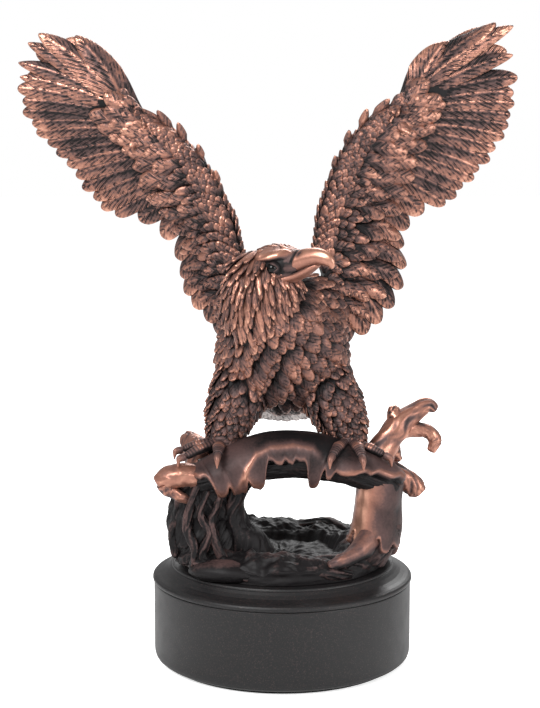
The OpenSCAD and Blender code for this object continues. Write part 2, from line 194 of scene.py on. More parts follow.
def around(a: Array, size: float, third: Array) -> Array:
    """Places for noise that meets itself round a tube: a circle of a given size, and a third number."""
    return np.stack([np.cos(a) * size, np.sin(a) * size, third], axis=-1)


# ---------------------------------------------------------------- meshes


@dataclass
class Sheets:
    """Closed tubes, one or many alike, as grids of points. Columns run round and meet; rows run along.

    Attributes:
        points: tubes by rows by columns by 3, in metres.
        relief: how proud each point stands, from 0 to 1, which the finishes read as rubbed metal; it also
        carries painted shade and painted highlights in places.
        uv: tubes by rows by columns by 2, in millimetres along and across.
    """

    points: Array
    relief: Array
    uv: Array

    def faces(self) -> tuple[Array, Array, Array, Array, Array]:
        """Join neighbouring grid points into quads, and close each end of each tube with a pole.

        Returns:
            Vertices, quads, end triangles, relief and uv.
        """
        n, rows, cols, _ = self.points.shape
        ids = np.arange(n * rows * cols).reshape(n, rows, cols)
        nxt = np.roll(ids, -1, axis=2)
        quads = np.stack([ids[:, :-1], nxt[:, :-1], nxt[:, 1:], ids[:, 1:]], axis=-1).reshape(-1, 4)
        low = n * rows * cols + np.arange(n)[:, None] + np.zeros((1, cols), int)
        high = low + n
        tris = np.concatenate(
            [
                np.stack([low, nxt[:, 0], ids[:, 0]], axis=-1).reshape(-1, 3),
                np.stack([high, ids[:, -1], nxt[:, -1]], axis=-1).reshape(-1, 3),
            ]
        )
        ends = [self.points[:, 0].mean(axis=1), self.points[:, -1].mean(axis=1)]
        verts = np.concatenate([self.points.reshape(-1, 3), *ends])
        relief = np.concatenate([self.relief.ravel(), self.relief[:, 0].mean(1), self.relief[:, -1].mean(1)])
        uv = np.concatenate([self.uv.reshape(-1, 2), self.uv[:, 0].mean(1), self.uv[:, -1].mean(1)])
        return verts, quads, tris, relief, uv


def put_in(name: str, sheets: list[Sheets], slot: Slot, nodes: tuple[str, ...]) -> bpy.types.Object:
    """Make one object from closed tubes, ride it on the root and hide the CAD nodes that it replaces.

    Args:
        name: the piece's name.
        sheets: its tubes.
        slot: not used.
        nodes: the CAD nodes that it replaces.

    Returns:
        The object.
    """
    parts, base = [], 0
    for s in sheets:
        verts, quads, tris, relief, uv = s.faces()
        parts.append((verts, quads + base, tris + base, relief, uv))
        base += len(verts)
    verts, quads, tris, relief, uv = (np.concatenate(column) for column in zip(*parts))
    loops = np.concatenate([quads.ravel(), tris.ravel()]).astype(np.int32)
    corners = np.concatenate([np.arange(len(quads)) * 4, len(quads) * 4 + np.arange(len(tris)) * 3])
    mesh = bpy.data.meshes.new(name)
    mesh.vertices.add(len(verts))
    mesh.vertices.foreach_set("co", verts.astype(np.float32).ravel())
    mesh.loops.add(len(loops))
    mesh.loops.foreach_set("vertex_index", loops)
    mesh.polygons.add(len(corners))
    mesh.polygons.foreach_set("loop_start", corners.astype(np.int32))
    mesh.update(calc_edges=True)
    mesh.validate()
    mesh.polygons.foreach_set("use_smooth", np.ones(len(mesh.polygons), bool))
    mesh.attributes.new("relief", "FLOAT", "POINT").data.foreach_set("value", relief.astype(np.float32))
    mesh.uv_layers.new(name="UVMap").data.foreach_set("uv", uv[loops].astype(np.float32).ravel())
    obj = bpy.data.objects.new(name, mesh)
    bpy.context.scene.collection.objects.link(obj)
    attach(obj, "root")
    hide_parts(*nodes)
    return obj


def frames(path: Array, up: Array) -> tuple[Array, Array, Array]:
    """Directions along a path, to its side and over it: side is along cross up, over is side cross along.

    Args:
        path: points along the path, rows by 3.
        up: a direction that the over direction leans to, 3 or rows by 3.

    Returns:
        Unit vectors along, side and over, rows by 3 each.
    """
    along = unit(np.gradient(path, axis=0))
    side = unit(np.cross(along, np.broadcast_to(up, along.shape)))
    return along, side, np.cross(side, along)


@dataclass
class Limb:
    """A tube through knots of x, y, z, half-width and half-height, in millimetres.

    The section at angle a is half-width times its cosine to the side and half-height times its sine over.

    Attributes:
        knots: rows of x, y, z, half-width, half-height.
        rows: sections along it.
        cols: points round it.
        up: the direction that the section's over side leans to.
        round_ends: how much of each end is rounded off, as a share of its length.
    """

    knots: list[list[float]]
    rows: int = 60
    cols: int = 32
    up: Point = (0.0, 0.0, 1.0)
    round_ends: tuple[float, float] = (0.06, 0.06)

    def grid(self) -> tuple[Array, Array]:
        """Spread places evenly from end to end and angles evenly round.

        Returns:
            Places along and angles round, each rows by cols.
        """
        t = np.linspace(0.0, 1.0, self.rows)
        a = np.arange(self.cols) / self.cols * 2 * np.pi
        return np.meshgrid(t, a, indexing="ij")

    def surface(self, swell: Array | float = 0.0, relief: Array | float = 0.5) -> Sheets:
        """The tube's surface, moved out by swell along the section's own radius.

        Args:
            swell: millimetres outwards at each grid point.
            relief: how rubbed each grid point is; in places it also carries painted shade and highlights.

        Returns:
            The closed tube.
        """
        t, a = self.grid()
        row = t[:, 0]
        values = curve(self.knots, row)
        _, side, over = frames(values[:, :3], np.asarray(self.up))
        first, last = self.round_ends
        ends = np.ones(self.rows)
        if first > 0:
            ends *= np.sqrt(np.clip(1 - (1 - np.clip(row / first, 0, 1)) ** 2, 0.0004, 1))
        if last > 0:
            ends *= np.sqrt(np.clip(1 - (1 - np.clip((1 - row) / last, 0, 1)) ** 2, 0.0004, 1))
        swell = np.broadcast_to(swell, t.shape)
        wide = (values[:, 3][:, None] + swell) * ends[:, None]
        high = (values[:, 4][:, None] + swell) * ends[:, None]
        points = (
            values[:, None, :3]
            + side[:, None] * (wide * np.cos(a))[..., None]
            + over[:, None] * (high * np.sin(a))[..., None]
        )
        length = np.concatenate([[0], np.cumsum(np.linalg.norm(np.diff(values[:, :3], axis=0), axis=1))])
        uv = np.stack([np.broadcast_to(length[:, None], t.shape), np.cos(a) * values[:, 3][:, None]], axis=-1)
        relief = np.broadcast_to(relief, t.shape)
        return Sheets(points[None] * MM, relief[None].copy(), uv[None])

    def centre(self, t: Array) -> Array:
        """Centreline points in millimetres at places t."""
        return curve(self.knots, t)[..., :3]


# ---------------------------------------------------------------- feathers


@dataclass(frozen=True)
class Vane:
    """One kind of feather. Lengths are in millimetres.

    Along the feather u goes from 0 at the root to 1 at the tip, and across it v from -1 to 1. Its
    half-width is wide times a rise near the root times the square root of 1 minus u to the power tip.

    Attributes:
        thick: thickness of the blade.
        camber: how much the middle stands over the edges, as a share of the half-width.
        rachis: height of the quill along the middle.
        tip: power that rounds the tip; a small one makes it pointed.
        rise: how far the tip stands off what it lies on.
        sink: how far the root is sunk.
        rows: points along.
        top: points across the shown side.
        under: points across the hidden side.
        bow: sideways curve, as a share of the length.
        curl: how far the tip bends back, as a share of the length.
        hidden: relief of the other side, which only big feathers show.
        blunt: power of the tip's outline, a half for a round tip and more for a pointed one.
        edge: relief added along the edges.
        base: relief of the middle of the shown side.
        bare: where it comes out from under those over it; before that its root is darkened as painted shade.
        tuck: how much painted shade darkens the edge that lies under its neighbour.
    """

    thick: float = 0.9
    camber: float = 0.22
    rachis: float = 0.25
    tip: float = 5.0
    rise: float = 0.9
    sink: float = 0.8
    rows: int = 8
    top: int = 6
    under: int = 2
    bow: float = 0.0
    curl: float = 0.0
    hidden: float = 0.12
    blunt: float = 0.5
    edge: float = 0.45
    base: float = 0.40
    bare: float = 0.0
    tuck: float = 0.45

    def grow(
        self,
        roots: Array,
        tips: Array,
        normals: Array,
        wide: Array,
        seed: float = 0.0,
        lean: float = 0.0,
        trail: Array | None = None,
    ) -> Sheets:
        """Grow one feather from each root to each tip.

        Args:
            roots: n by 3, in millimetres.
            tips: n by 3, in millimetres.
            normals: n by 3, outwards from what the feathers lie on.
            wide: n half-widths in millimetres.
            seed: picks the small differences from feather to feather.
            lean: how far each feather's one edge is turned over its neighbour, in radians.
            trail: 1 or -1 for each feather, the side of its edge that lies over its neighbour.

        Returns:
            The feathers' closed surfaces.
        """
        n = len(roots)
        length = np.linalg.norm(tips - roots, axis=1)
        a = unit(tips - roots)
        side = unit(np.cross(normals, a))
        over = np.cross(a, side)
        ids = np.arange(n) * 1.37 + seed
        lay = np.zeros(n) if trail is None else trail
        tilt = lean * np.where(lay == 0, 1.0, lay) + 0.08 * np.sin(ids * 5.1)
        side, over = (
            side * np.cos(tilt)[:, None] + over * np.sin(tilt)[:, None],
            over * np.cos(tilt)[:, None] - side * np.sin(tilt)[:, None],
        )
        s = np.linspace(0.0, 1.0, self.rows)
        u = 0.996 * (1 - (1 - s) ** 1.4)
        v_top = -np.cos(np.linspace(0.0, np.pi, self.top))
        v_under = -np.cos(np.linspace(np.pi, 2 * np.pi, self.under + 2))[1:-1]
        v = np.concatenate([v_top, v_under])
        is_top = np.concatenate([np.ones(self.top), np.zeros(self.under)])
        outline = (0.40 + 0.60 * smoothstep(0.0, 0.45, u)) * np.maximum(1 - u**self.tip, 0.0) ** self.blunt
        uu, vv = np.meshgrid(u, v, indexing="ij")
        half = outline[:, None] * wide[:, None, None]
        across = half * vv
        arch = self.camber * half * (1 - vv**2)
        stem = self.rachis * bump(vv, 0, 0.16) * (1 - 0.8 * uu) * outline[:, None]
        upper = arch + stem + 0.5 * self.thick * (1 - np.abs(vv) ** 6)
        height = np.where(is_top > 0, upper, arch * 0.8 - self.thick)
        height = height - self.sink * (1 - uu) ** 2 + self.rise * uu**2
        height = height - self.curl * length[:, None, None] * smoothstep(0.5, 1.0, uu)
        sway = self.bow * length[:, None, None] * 4 * uu * (1 - uu)
        points = (
            roots[:, None, None]
            + a[:, None, None] * (uu[None] * length[:, None, None])[..., None]
            + side[:, None, None] * (across + sway)[..., None]
            + over[:, None, None] * height[..., None]
        )
        rim = smoothstep(0.75, 1.0, uu) * 0.26 + np.abs(vv) ** 6 * self.edge * 0.6
        trench = bump(np.abs(vv), 0.22, 0.09) * 0.22 * (self.rachis > 0.5)
        quill = bump(vv, 0, 0.12) * (1 - 0.6 * uu) * 0.30 - trench
        # Towards the root, under the feathers that lie over it, the relief falls to three tenths: painted
        # shade.
        top = (self.base + rim + quill) * (0.3 + 0.7 * smoothstep(self.bare - 0.2, self.bare + 0.34, uu))
        shade = np.clip(-lay[:, None, None] * vv - 0.15, 0, 1) * self.tuck * (1 - 0.5 * uu**6)
        uneven = 0.09 * np.sin(ids * 3.3)[:, None, None]
        relief = np.where(is_top > 0, top, self.hidden)[None] + uneven - shade
        uv = np.stack([uu[None] * length[:, None, None] + ids[:, None, None] * 7.0, across], axis=-1)
        return Sheets(points * MM, np.clip(relief, 0, 1), uv)


# ---------------------------------------------------------------- finishes


class Nodes:
    """A small hand for wiring a node tree.

    Attributes:
        tree: the tree.
    """

    def __init__(self, tree: bpy.types.NodeTree) -> None:
        """Keep the tree."""
        self.tree = tree

    def add(self, kind: str, inputs: dict | None = None, **props: object) -> bpy.types.Node:
        """Add a node, set its properties and set or link its inputs.

        Args:
            kind: the node's type.
            inputs: input name or number to a value or an output socket.
            props: properties of the node.

        Returns:
            The node.
        """
        node = self.tree.nodes.new(kind)
        for key, value in props.items():
            setattr(node, key, value)
        for key, value in (inputs or {}).items():
            if isinstance(value, bpy.types.NodeSocket):
                self.tree.links.new(value, node.inputs[key])
            else:
                node.inputs[key].default_value = value
        return node

    def math(self, operation: str, a: object, b: object = 0.0, c: object = 0.0) -> bpy.types.NodeSocket:
        """A Math node's output for up to three values."""
        return self.add("ShaderNodeMath", {0: a, 1: b, 2: c}, operation=operation).outputs[0]

    def rise(self, value: object, low: float, high: float) -> bpy.types.NodeSocket:
        """A smooth rise from 0 to 1 as the value goes from low to high."""
        node = self.add("ShaderNodeMapRange", {0: value, 1: low, 2: high}, interpolation_type="SMOOTHSTEP")
        return node.outputs[0]

    def sway(self, value: object, middle: float, amount: float, base: object) -> bpy.types.NodeSocket:
        """A base moved either way by the value's distance from the middle, times an amount."""
        return self.math("MULTIPLY_ADD", self.math("SUBTRACT", value, middle), amount, base)

    def noise(self, place: object, scale: float, detail: float) -> bpy.types.NodeSocket:
        """A noise pattern's value at a place."""
        return self.add("ShaderNodeTexNoise", {"Vector": place, "Scale": scale, "Detail": detail}).outputs[0]

    def ramp(self, value: object, stops: list[tuple[float, Colour]]) -> bpy.types.NodeSocket:
        """A colour ramp's output.

        Args:
            value: what it reads.
            stops: place and linear colour of each stop.

        Returns:
            The colour output.
        """
        node = self.add("ShaderNodeValToRGB", {0: value})
        while len(node.color_ramp.elements) < len(stops):
            node.color_ramp.elements.new(0.5)
        for element, (place, colour) in zip(node.color_ramp.elements, stops):
            element.position = place
            element.color = (*colour, 1.0)
        return node.outputs[0]


def new_group(
    name: str, inputs: dict[str, float], outputs: dict[str, str]
) -> tuple[bpy.types.NodeTree, Nodes, dict, bpy.types.Node]:
    """Start a shader node group with named sockets.

    Args:
        name: the group's name.
        inputs: input name to its default value.
        outputs: output name to its socket type.

    Returns:
        The tree, its wiring hand, the group's inputs by name and its output node.
    """
    tree = bpy.data.node_groups.new(name, "ShaderNodeTree")
    for key, value in inputs.items():
        tree.interface.new_socket(key, in_out="INPUT", socket_type="NodeSocketFloat").default_value = value
    for key, kind in outputs.items():
        tree.interface.new_socket(key, in_out="OUTPUT", socket_type=kind)
    wire = Nodes(tree)
    source = wire.add("NodeGroupInput")
    return tree, wire, {s.name: s for s in source.outputs if s.name}, wire.add("NodeGroupOutput")


def barb_group() -> bpy.types.NodeTree:
    """Barbs of a feather: slanting grooves either side of the quill.

    A groove is a wave of the distance along minus slant times the distance across, and the wave to a
    power makes it narrow. A broad wave parts the clumps of barbs, one two and a half times as fine parts
    the barbs, and noise bends and breaks both.

    Returns:
        A group that puts out Crest, 0 in the grooves and 1 on the barbs.
    """
    tree, wire, given, out = new_group("barbs", {"Pitch": 1.4, "Slant": 2.3}, {"Crest": "NodeSocketFloat"})
    uv = wire.add("ShaderNodeUVMap", uv_map="UVMap").outputs[0]
    parts = wire.add("ShaderNodeSeparateXYZ", {0: uv})
    across = wire.math("ABSOLUTE", parts.outputs[1])
    place = wire.add("ShaderNodeTexCoord").outputs["Object"]
    wobble = wire.noise(place, 150.0, 1.0)
    slanted = wire.math("SUBTRACT", parts.outputs[0], wire.math("MULTIPLY", across, given["Slant"]))
    shifted = wire.math("ADD", slanted, wire.math("MULTIPLY", wobble, 3.2))
    turns = wire.math("MULTIPLY", wire.math("DIVIDE", shifted, given["Pitch"]), FULL_TURN)
    grooves = []
    for waves, depth in ((1.0, 0.6), (2.5, 0.5)):
        wave = wire.math("MULTIPLY_ADD", wire.math("SINE", wire.math("MULTIPLY", turns, waves)), 0.5, 0.5)
        grooves.append(wire.math("MULTIPLY", wire.math("POWER", wave, 2.6), depth))
    uneven = wire.noise(place, 330.0, 3.0)
    broken = wire.math("MULTIPLY_ADD", wire.rise(uneven, 0.38, 0.60), 0.90, 0.10)
    sunk = wire.math("MULTIPLY", wire.math("ADD", grooves[0], grooves[1]), broken)
    wire.tree.links.new(wire.math("SUBTRACT", 1.0, sunk), out.inputs["Crest"])
    return tree


def mottle_group() -> bpy.types.NodeTree:
    """Uneven patina: broad and fine cloud patterns in the object's own coordinates, times Size.

    Returns:
        A group that puts out Broad and Fine, each from 0 to 1.
    """
    tree, wire, given, out = new_group(
        "mottle", {"Size": 1.0}, {"Broad": "NodeSocketFloat", "Fine": "NodeSocketFloat"}
    )
    place = wire.add("ShaderNodeTexCoord").outputs["Object"]
    sized = wire.add("ShaderNodeVectorMath", {0: place, "Scale": given["Size"]}, operation="SCALE")
    for name, scale, detail in (("Broad", 70.0, 3.0), ("Fine", FINE_SCALE, 4.0)):
        wire.tree.links.new(wire.noise(sized.outputs[0], scale, detail), out.inputs[name])
    return tree


@dataclass(frozen=True)
class AntiqueBronze:
    """Cast bronze with a dark patina that is rubbed back to copper where it stands proud.

    Attributes:
        name: the material's name.
        hollow: colour in the recesses.
        body: colour of the patina.
        copper: colour where it is rubbed.
        bright: colour of the most rubbed edges.
        barb: how much the feather barbs change the rub, 0 for none.
        pitch: distance between clumps of barbs along the quill, in millimetres.
        slant: how far a barb runs along for each step across; a large one makes it lie along the quill.
        rub: added to the relief everywhere.
        streak: how much the fine mottle changes the rub.
        depth: height of the barbs and grain in metres.
        smooth: roughness of the rubbed metal.
        dull: roughness of the patina.
    """

    name: str
    hollow: Colour = (0.005, 0.004, 0.0045)
    body: Colour = (0.080, 0.046, 0.043)
    copper: Colour = (0.33, 0.155, 0.112)
    bright: Colour = (0.68, 0.36, 0.255)
    barb: float = 0.0
    pitch: float = 3.2
    slant: float = 2.3
    rub: float = 0.0
    streak: float = 0.18
    depth: float = 0.00022
    smooth: float = 0.34
    dull: float = 0.55

    def make(self, groups: dict[str, bpy.types.NodeTree]) -> bpy.types.Material:
        """Build the material.

        Args:
            groups: the shared node groups by name.

        Returns:
            The material.
        """
        mat = bpy.data.materials.new(self.name)
        mat.use_nodes = True
        wire = Nodes(mat.node_tree)
        shader = mat.node_tree.nodes["Principled BSDF"]
        relief = wire.add("ShaderNodeAttribute", attribute_name="relief").outputs["Fac"]
        mottle = wire.add("ShaderNodeGroup", node_tree=groups["mottle"])
        worn = wire.math("ADD", relief, self.rub)
        worn = wire.sway(mottle.outputs["Broad"], 0.5, self.streak * 2.2, worn)
        worn = wire.sway(mottle.outputs["Fine"], 0.5, self.streak * 1.6, worn)
        height = wire.math("MULTIPLY", mottle.outputs["Fine"], 0.35)
        if self.barb:
            given = {"Pitch": self.pitch, "Slant": self.slant}
            crest = wire.add("ShaderNodeGroup", given, node_tree=groups["barbs"]).outputs["Crest"]
            worn = wire.sway(crest, 0.78, self.barb, worn)
            height = wire.math("ADD", height, crest)
        stops = [(0.10, self.hollow), (0.36, self.body), (0.64, self.copper), (0.92, self.bright)]
        wire.tree.links.new(wire.ramp(worn, stops), shader.inputs["Base Color"])
        rubbed = wire.rise(worn, 0.2, 0.75)
        wire.tree.links.new(wire.math("MULTIPLY_ADD", rubbed, 0.70, 0.15), shader.inputs["Metallic"])
        shader.inputs["Specular IOR Level"].default_value = 0.22
        gloss = wire.math("MULTIPLY_ADD", rubbed, self.smooth - self.dull, self.dull)
        wire.tree.links.new(gloss, shader.inputs["Roughness"])
        raised = wire.add("ShaderNodeBump", {"Strength": 0.8, "Distance": self.depth, "Height": height})
        wire.tree.links.new(raised.outputs[0], shader.inputs["Normal"])
        return mat


@dataclass(frozen=True)
class Plain:
    """A finish of one colour with fine speckle and grain, for lacquer, felt, steel and the eyes.

    Attributes:
        name: the material's name.
        colour: main colour.
        fleck: colour of the specks.
        rough: roughness.
        metal: metallic amount.
        scale: noise scale of the specks.
        depth: height of the grain in metres.
        shine: specular level.
    """

    name: str
    colour: Colour
    fleck: Colour
    rough: float
    metal: float = 0.0
    scale: float = 1500.0
    depth: float = 0.00003
    shine: float = 0.5

    def make(self, groups: dict[str, bpy.types.NodeTree]) -> bpy.types.Material:
        """Build the material.

        Args:
            groups: the shared node groups by name.

        Returns:
            The material.
        """
        mat = bpy.data.materials.new(self.name)
        mat.use_nodes = True
        wire = Nodes(mat.node_tree)
        shader = mat.node_tree.nodes["Principled BSDF"]
        mottle = wire.add("ShaderNodeGroup", {"Size": self.scale / FINE_SCALE}, node_tree=groups["mottle"])
        speck = wire.rise(mottle.outputs["Fine"], 0.52, 0.74)
        colour = wire.ramp(speck, [(0.0, self.colour), (1.0, self.fleck)])
        wire.tree.links.new(colour, shader.inputs["Base Color"])
        uneven = wire.sway(mottle.outputs["Broad"], 0.5, 0.16, self.rough)
        wire.tree.links.new(uneven, shader.inputs["Roughness"])
        shader.inputs["Metallic"].default_value = self.metal
        shader.inputs["Specular IOR Level"].default_value = self.shine
        grain = {"Strength": 0.5, "Distance": self.depth, "Height": mottle.outputs["Fine"]}
        raised = wire.add("ShaderNodeBump", grain)
        wire.tree.links.new(raised.outputs[0], shader.inputs["Normal"])
        return mat


@dataclass
class Finishes:
    """Every finish on the statuette, made once.

    Attributes:
        made: each material by its finish's name.
    """

    made: dict[str, bpy.types.Material] = field(default_factory=dict)

    def __post_init__(self) -> None:
        """Make the shared groups and the materials."""
        groups = {"barbs": barb_group(), "mottle": mottle_group()}
        # Pale greys, rubbed brighter and more streaked, stand in for bronze on the tail: painted glare of the
        # light behind it.
        painted_glare_greys = {
            "hollow": (0.012, 0.011, 0.012),
            "body": (0.13, 0.115, 0.115),
            "copper": (0.32, 0.285, 0.275),
            "bright": (0.52, 0.46, 0.44),
        }
        feather = partial(AntiqueBronze, streak=0.20)
        black, brown = (0.0045, 0.0045, 0.005), (0.034, 0.022, 0.021)
        kinds = [
            feather("bronze_flight", barb=0.60, pitch=4.2, rub=-0.11, depth=0.0004),
            feather("bronze_covert", barb=0.58, pitch=3.4, slant=1.9, rub=-0.09, depth=0.00034),
            feather("bronze_down", barb=0.42, pitch=3.0, slant=1.8, rub=-0.06, depth=0.00026),
            AntiqueBronze("bronze_hackle", barb=0.34, pitch=8.0, slant=7.0, depth=0.0003),
            AntiqueBronze("bronze_skin", rub=-0.40, streak=0.08),
            AntiqueBronze("bronze_smooth", streak=0.10, depth=0.00004),
            AntiqueBronze("bronze_bark", streak=0.10, depth=0.00008),
            AntiqueBronze("bronze_root", rub=-0.22, depth=0.00025, smooth=0.42),
            # The tail's pale greys are painted glare.
            AntiqueBronze("bronze_tail", **painted_glare_greys, barb=0.6, pitch=5.0, rub=0.14, streak=0.34, smooth=0.42),
            Plain("plinth_lacquer", black, brown, 0.46, scale=1900.0, shine=0.36),
            Plain("felt_nap", (0.010, 0.013, 0.011), (0.03, 0.035, 0.03), 0.95, scale=2200.0, depth=0.0002),
            Plain("bright_steel", (0.50, 0.50, 0.49), (0.62, 0.62, 0.60), 0.34, metal=1.0, scale=1800.0),
            Plain("eye_gloss", (0.002, 0.002, 0.002), (0.004, 0.003, 0.003), 0.10, shine=0.22, depth=0.0),
        ]
        for kind in kinds:
            self.made[kind.name] = kind.make(groups)

    def dress(self, obj: bpy.types.Object, name: str) -> None:
        """Put a finish on an object, in place of what it has.

        Args:
            obj: the object.
            name: the finish.
        """
        obj.data.materials.clear()
        obj.data.materials.append(self.made[name])

    def cast(self, name: str, sheets: list[Sheets], node: str, finish: str, slot: Slot = Slot.BRONZE) -> None:
        """Make a piece from closed tubes, in place of a CAD node, and dress it.

        Args:
            name: the piece's name.
            sheets: its tubes.
            node: the CAD node that it replaces.
            finish: its finish.
            slot: the record's slot.
        """
        self.dress(put_in(name, sheets, slot, (node,)), finish)


# ---------------------------------------------------------------- the bird


@dataclass
class Wing:
    """One raised wing: an arm, a fan of flight feathers, rows of coverts on both faces and small scales.

    A place on the wing is (f, c). f is the flight feather's number, 0 at the wing's top, and may lie
    between feathers. c is 0 on the middle of the arm, 1 at the feather tips and -1 at the leading edge.

    Attributes:
        node: the CAD node that it replaces.
        shoulder: where the arm starts, in millimetres.
        arm: rows of x, y, z, chordwise radius and thickness radius, from the shoulder to the hand.
        shares: each feather's place along the arm, from 0 to 1.
        tips: each feather's tip, from the shoulder.
        turn: 1 or -1, which edge of a feather is its leading edge.
        seed: picks the small differences.
        covert_rows: each row's top feather number, count, place of its tips, length, half-width, shift
            and lift.
    """

    node: str
    shoulder: Point
    arm: list[list[float]]
    shares: list[float]
    tips: list[list[float]]
    turn: float
    seed: float
    covert_rows: tuple[tuple[float, int, float, float, float, float, float], ...] = (
        (3.0, 14, 0.45, 19, 4.3, 0.0, 0.2), (2.4, 14, 0.37, 17, 4.2, 0.5, 0.9),
        (1.4, 15, 0.29, 15, 4.0, 0.0, 1.3), (0.5, 17, 0.22, 12, 3.6, 0.4, 1.2),
        (0.2, 20, 0.15, 9, 3.0, 0.0, 1.0),
    )

    @property
    def last(self) -> int:
        """The number of the lowest flight feather."""
        return len(self.tips) - 1

    def rays(self, f: Array) -> tuple[Array, Array, Array, Array]:
        """Find where feathers of any number leave the arm, where they end and which way is out.

        The outward normal is the line of tips crossed with the feather's own line, turned to the front.

        Args:
            f: feather numbers, whole or between.

        Returns:
            Arm points, tips, arm radii and front normals.
        """
        t = np.clip(f, 0, self.last) / self.last
        share = curve(np.array(self.shares)[:, None], t)[..., 0]
        arm = polyline(self.arm, share)
        tips = curve(self.tips, t) + self.shoulder
        above, below = (curve(self.tips, np.clip(f + step, 0, self.last) / self.last) for step in (-0.2, 0.2))
        root = arm[..., :3] + self.shoulder
        normal = unit(np.cross(unit(below - above), unit(tips - root)))
        normal = normal * np.where(normal[..., 1:2] > 0, -1.0, 1.0)
        return root, tips, arm[..., 3:5], normal

    def place(self, f: Array, c: Array, face: float) -> tuple[Array, Array]:
        """Points on the wing's skin and their outward normals.

        Past the arm's middle the skin thins from the arm's radius to a blade. Ahead of it the skin
        follows a quarter of an ellipse round the leading edge.

        Args:
            f: feather numbers.
            c: places across, from -1 to 1.
            face: 1 for the front, -1 for the back.

        Returns:
            Points in millimetres and unit normals.
        """
        root, tip, radii, normal = self.rays(f)
        out = tip - root
        chord = unit(out)
        ahead = np.clip(-c, 0, 1)[..., None] * (np.pi / 2)
        behind = np.clip(c, 0, 1)[..., None]
        thick = radii[..., 1:2] * (1 - 0.86 * smoothstep(0.0, 0.62, behind))
        along = out * behind - chord * radii[..., 0:1] * np.sin(ahead)
        across = normal * face * thick * np.cos(ahead)
        lean = chord * 0.10 * (behind > 0)
        slope = unit(normal * face * np.cos(ahead) - chord * np.sin(ahead) * 0.9 + lean)
        return root + along + across, slope

    def skin(self) -> Sheets:
        """The skin under the feathers: sections across the wing, from the lowest feather to the top.

        Each section runs over the front face from behind to the leading edge, and back over the other face.

        Returns:
            The closed skin.
        """
        f = np.linspace(self.last, 0.0, 60)
        c = np.concatenate([np.linspace(0.62, -0.98, 22), np.linspace(-0.98, 0.62, 22)])
        face = np.concatenate([np.ones(22), -np.ones(22)])
        if self.turn > 0:
            c, face = c[::-1], face[::-1]
        ff, cc = np.meshgrid(f, c, indexing="ij")
        front, _ = self.place(ff, cc, 1.0)
        back, _ = self.place(ff, cc, -1.0)
        points = np.where(face[None, :, None] > 0, front, back)
        points = points + 0.35 * rough(points * 0.5, self.seed)[..., None]
        uv = np.stack([ff * 9, cc * 20], axis=-1)
        return Sheets(points[None] * MM, np.full((1, *ff.shape), 0.25), uv[None])

    def flight(self) -> list[Sheets]:
        """The flight feathers, each over the next one down on the front face.

        Each goes from a little past the arm to its place on the curve through the tips. The top feathers
        fan out from lower on the hand. A few more lie behind the top ones.

        Returns:
            The hand's long feathers, the rest and those behind.
        """
        hand = np.array([0.0, 1.0, 1.45, 2.15, 2.6])
        rest = np.concatenate([np.arange(3.0, 8.4, 0.42), np.arange(8.7, self.last + 0.1, 0.75)])
        vane = Vane(
            thick=1.2, camber=0.2, rachis=0.85, tip=9.0, rise=0.0, sink=0.0, rows=44, top=15, under=9,
            bow=0.05 * self.turn, hidden=0.34, base=0.44, bare=0.3,
        )
        long = replace(vane, tip=3.0, blunt=0.62, rachis=1.2, camber=0.24, base=0.50, bare=0.1, tuck=0.62)
        made = []
        widths = np.array([7.6, 7.6, 6.4, 6.0, 6.0]), np.where(rest < 8.5, 5.2, 6.4)
        for f, wide, kind in zip((hand, rest), widths, (long, vane)):
            root, tip, _, normal = self.rays(f)
            down = unit(self.rays(f + 0.2)[1] - self.rays(f - 0.2)[1])
            uneven = np.where(f < 8.5, 0.015, 0.045) * np.sin(f * 8.3 + self.seed)
            reach = 1.0 + np.where(f < 2.5, 0.02, uneven)
            inner = root + (tip - root) * 0.05 + down * np.clip(5.0 - 2.5 * f, 0, 5)[:, None]
            end = root + (tip - root) * reach[:, None]
            trail = np.sign((np.cross(normal, unit(tip - inner)) * down).sum(axis=1))
            made.append(kind.grow(inner, end, normal, wide, self.seed + wide[0], 0.26, trail * (f > 0)))
        under = np.arange(0.5, 3.6, 1.0)
        root, tip, _, normal = self.rays(under)
        backs = root + (tip - root) * 0.95 - normal * 2.6
        wide = np.full(len(under), 6.4)
        made.append(vane.grow(root - normal, backs, normal, wide, self.seed + 5, 0.1))
        return made

    def row(
        self, low: float, high: float, count: int, c_tip: float, length: float, wide: float, face: float,
        vane: Vane, shift: float = 0.0, lift: float = 0.0,
    ) -> Sheets:
        """One row of covert feathers on a face, pointing to the flight feathers' tips.

        Args:
            low: feather number of the row's top.
            high: feather number of the row's foot.
            count: how many feathers.
            c_tip: where across the wing their tips lie.
            length: their length in millimetres.
            wide: their half-width in millimetres.
            face: 1 for the front, -1 for the back.
            vane: the kind of feather.
            shift: moves the row along by that many places.
            lift: how far the row stands off the skin.

        Returns:
            The row.
        """
        k = np.arange(count) + 0.5 + shift
        f = np.clip(low + (high - low) * k / count, 0.0, self.last)
        jitter = np.sin(k * 12.9 + self.seed * 3.1 + c_tip * 40)
        twist = np.sin(k * 7.7 + c_tip * 90 + self.seed)
        root_arm, tip_all, _, _ = self.rays(f)
        chord = np.linalg.norm(tip_all - root_arm, axis=1)
        size = np.clip(chord / 52.0, 0.62, 1.1) * (1 + 0.2 * jitter)
        c_end = c_tip * (1 + 0.75 * smoothstep(0.42, 0.72, f / self.last)) + 0.035 * jitter
        c_start = c_end - length * size / chord
        tips, n1 = self.place(f - 0.25 + 0.18 * twist, c_end, face)
        roots, n0 = self.place(f + 0.25, c_start, face)
        normals = unit(n0 + n1)
        reach = unit(tips - roots) * (length * size)[:, None]
        return vane.grow(
            roots + n0 * lift, roots + reach + n1 * (lift + 0.5), normals, wide * size,
            self.seed + c_tip * 9 + k[0], lean=-0.12 * self.turn * face,
        )

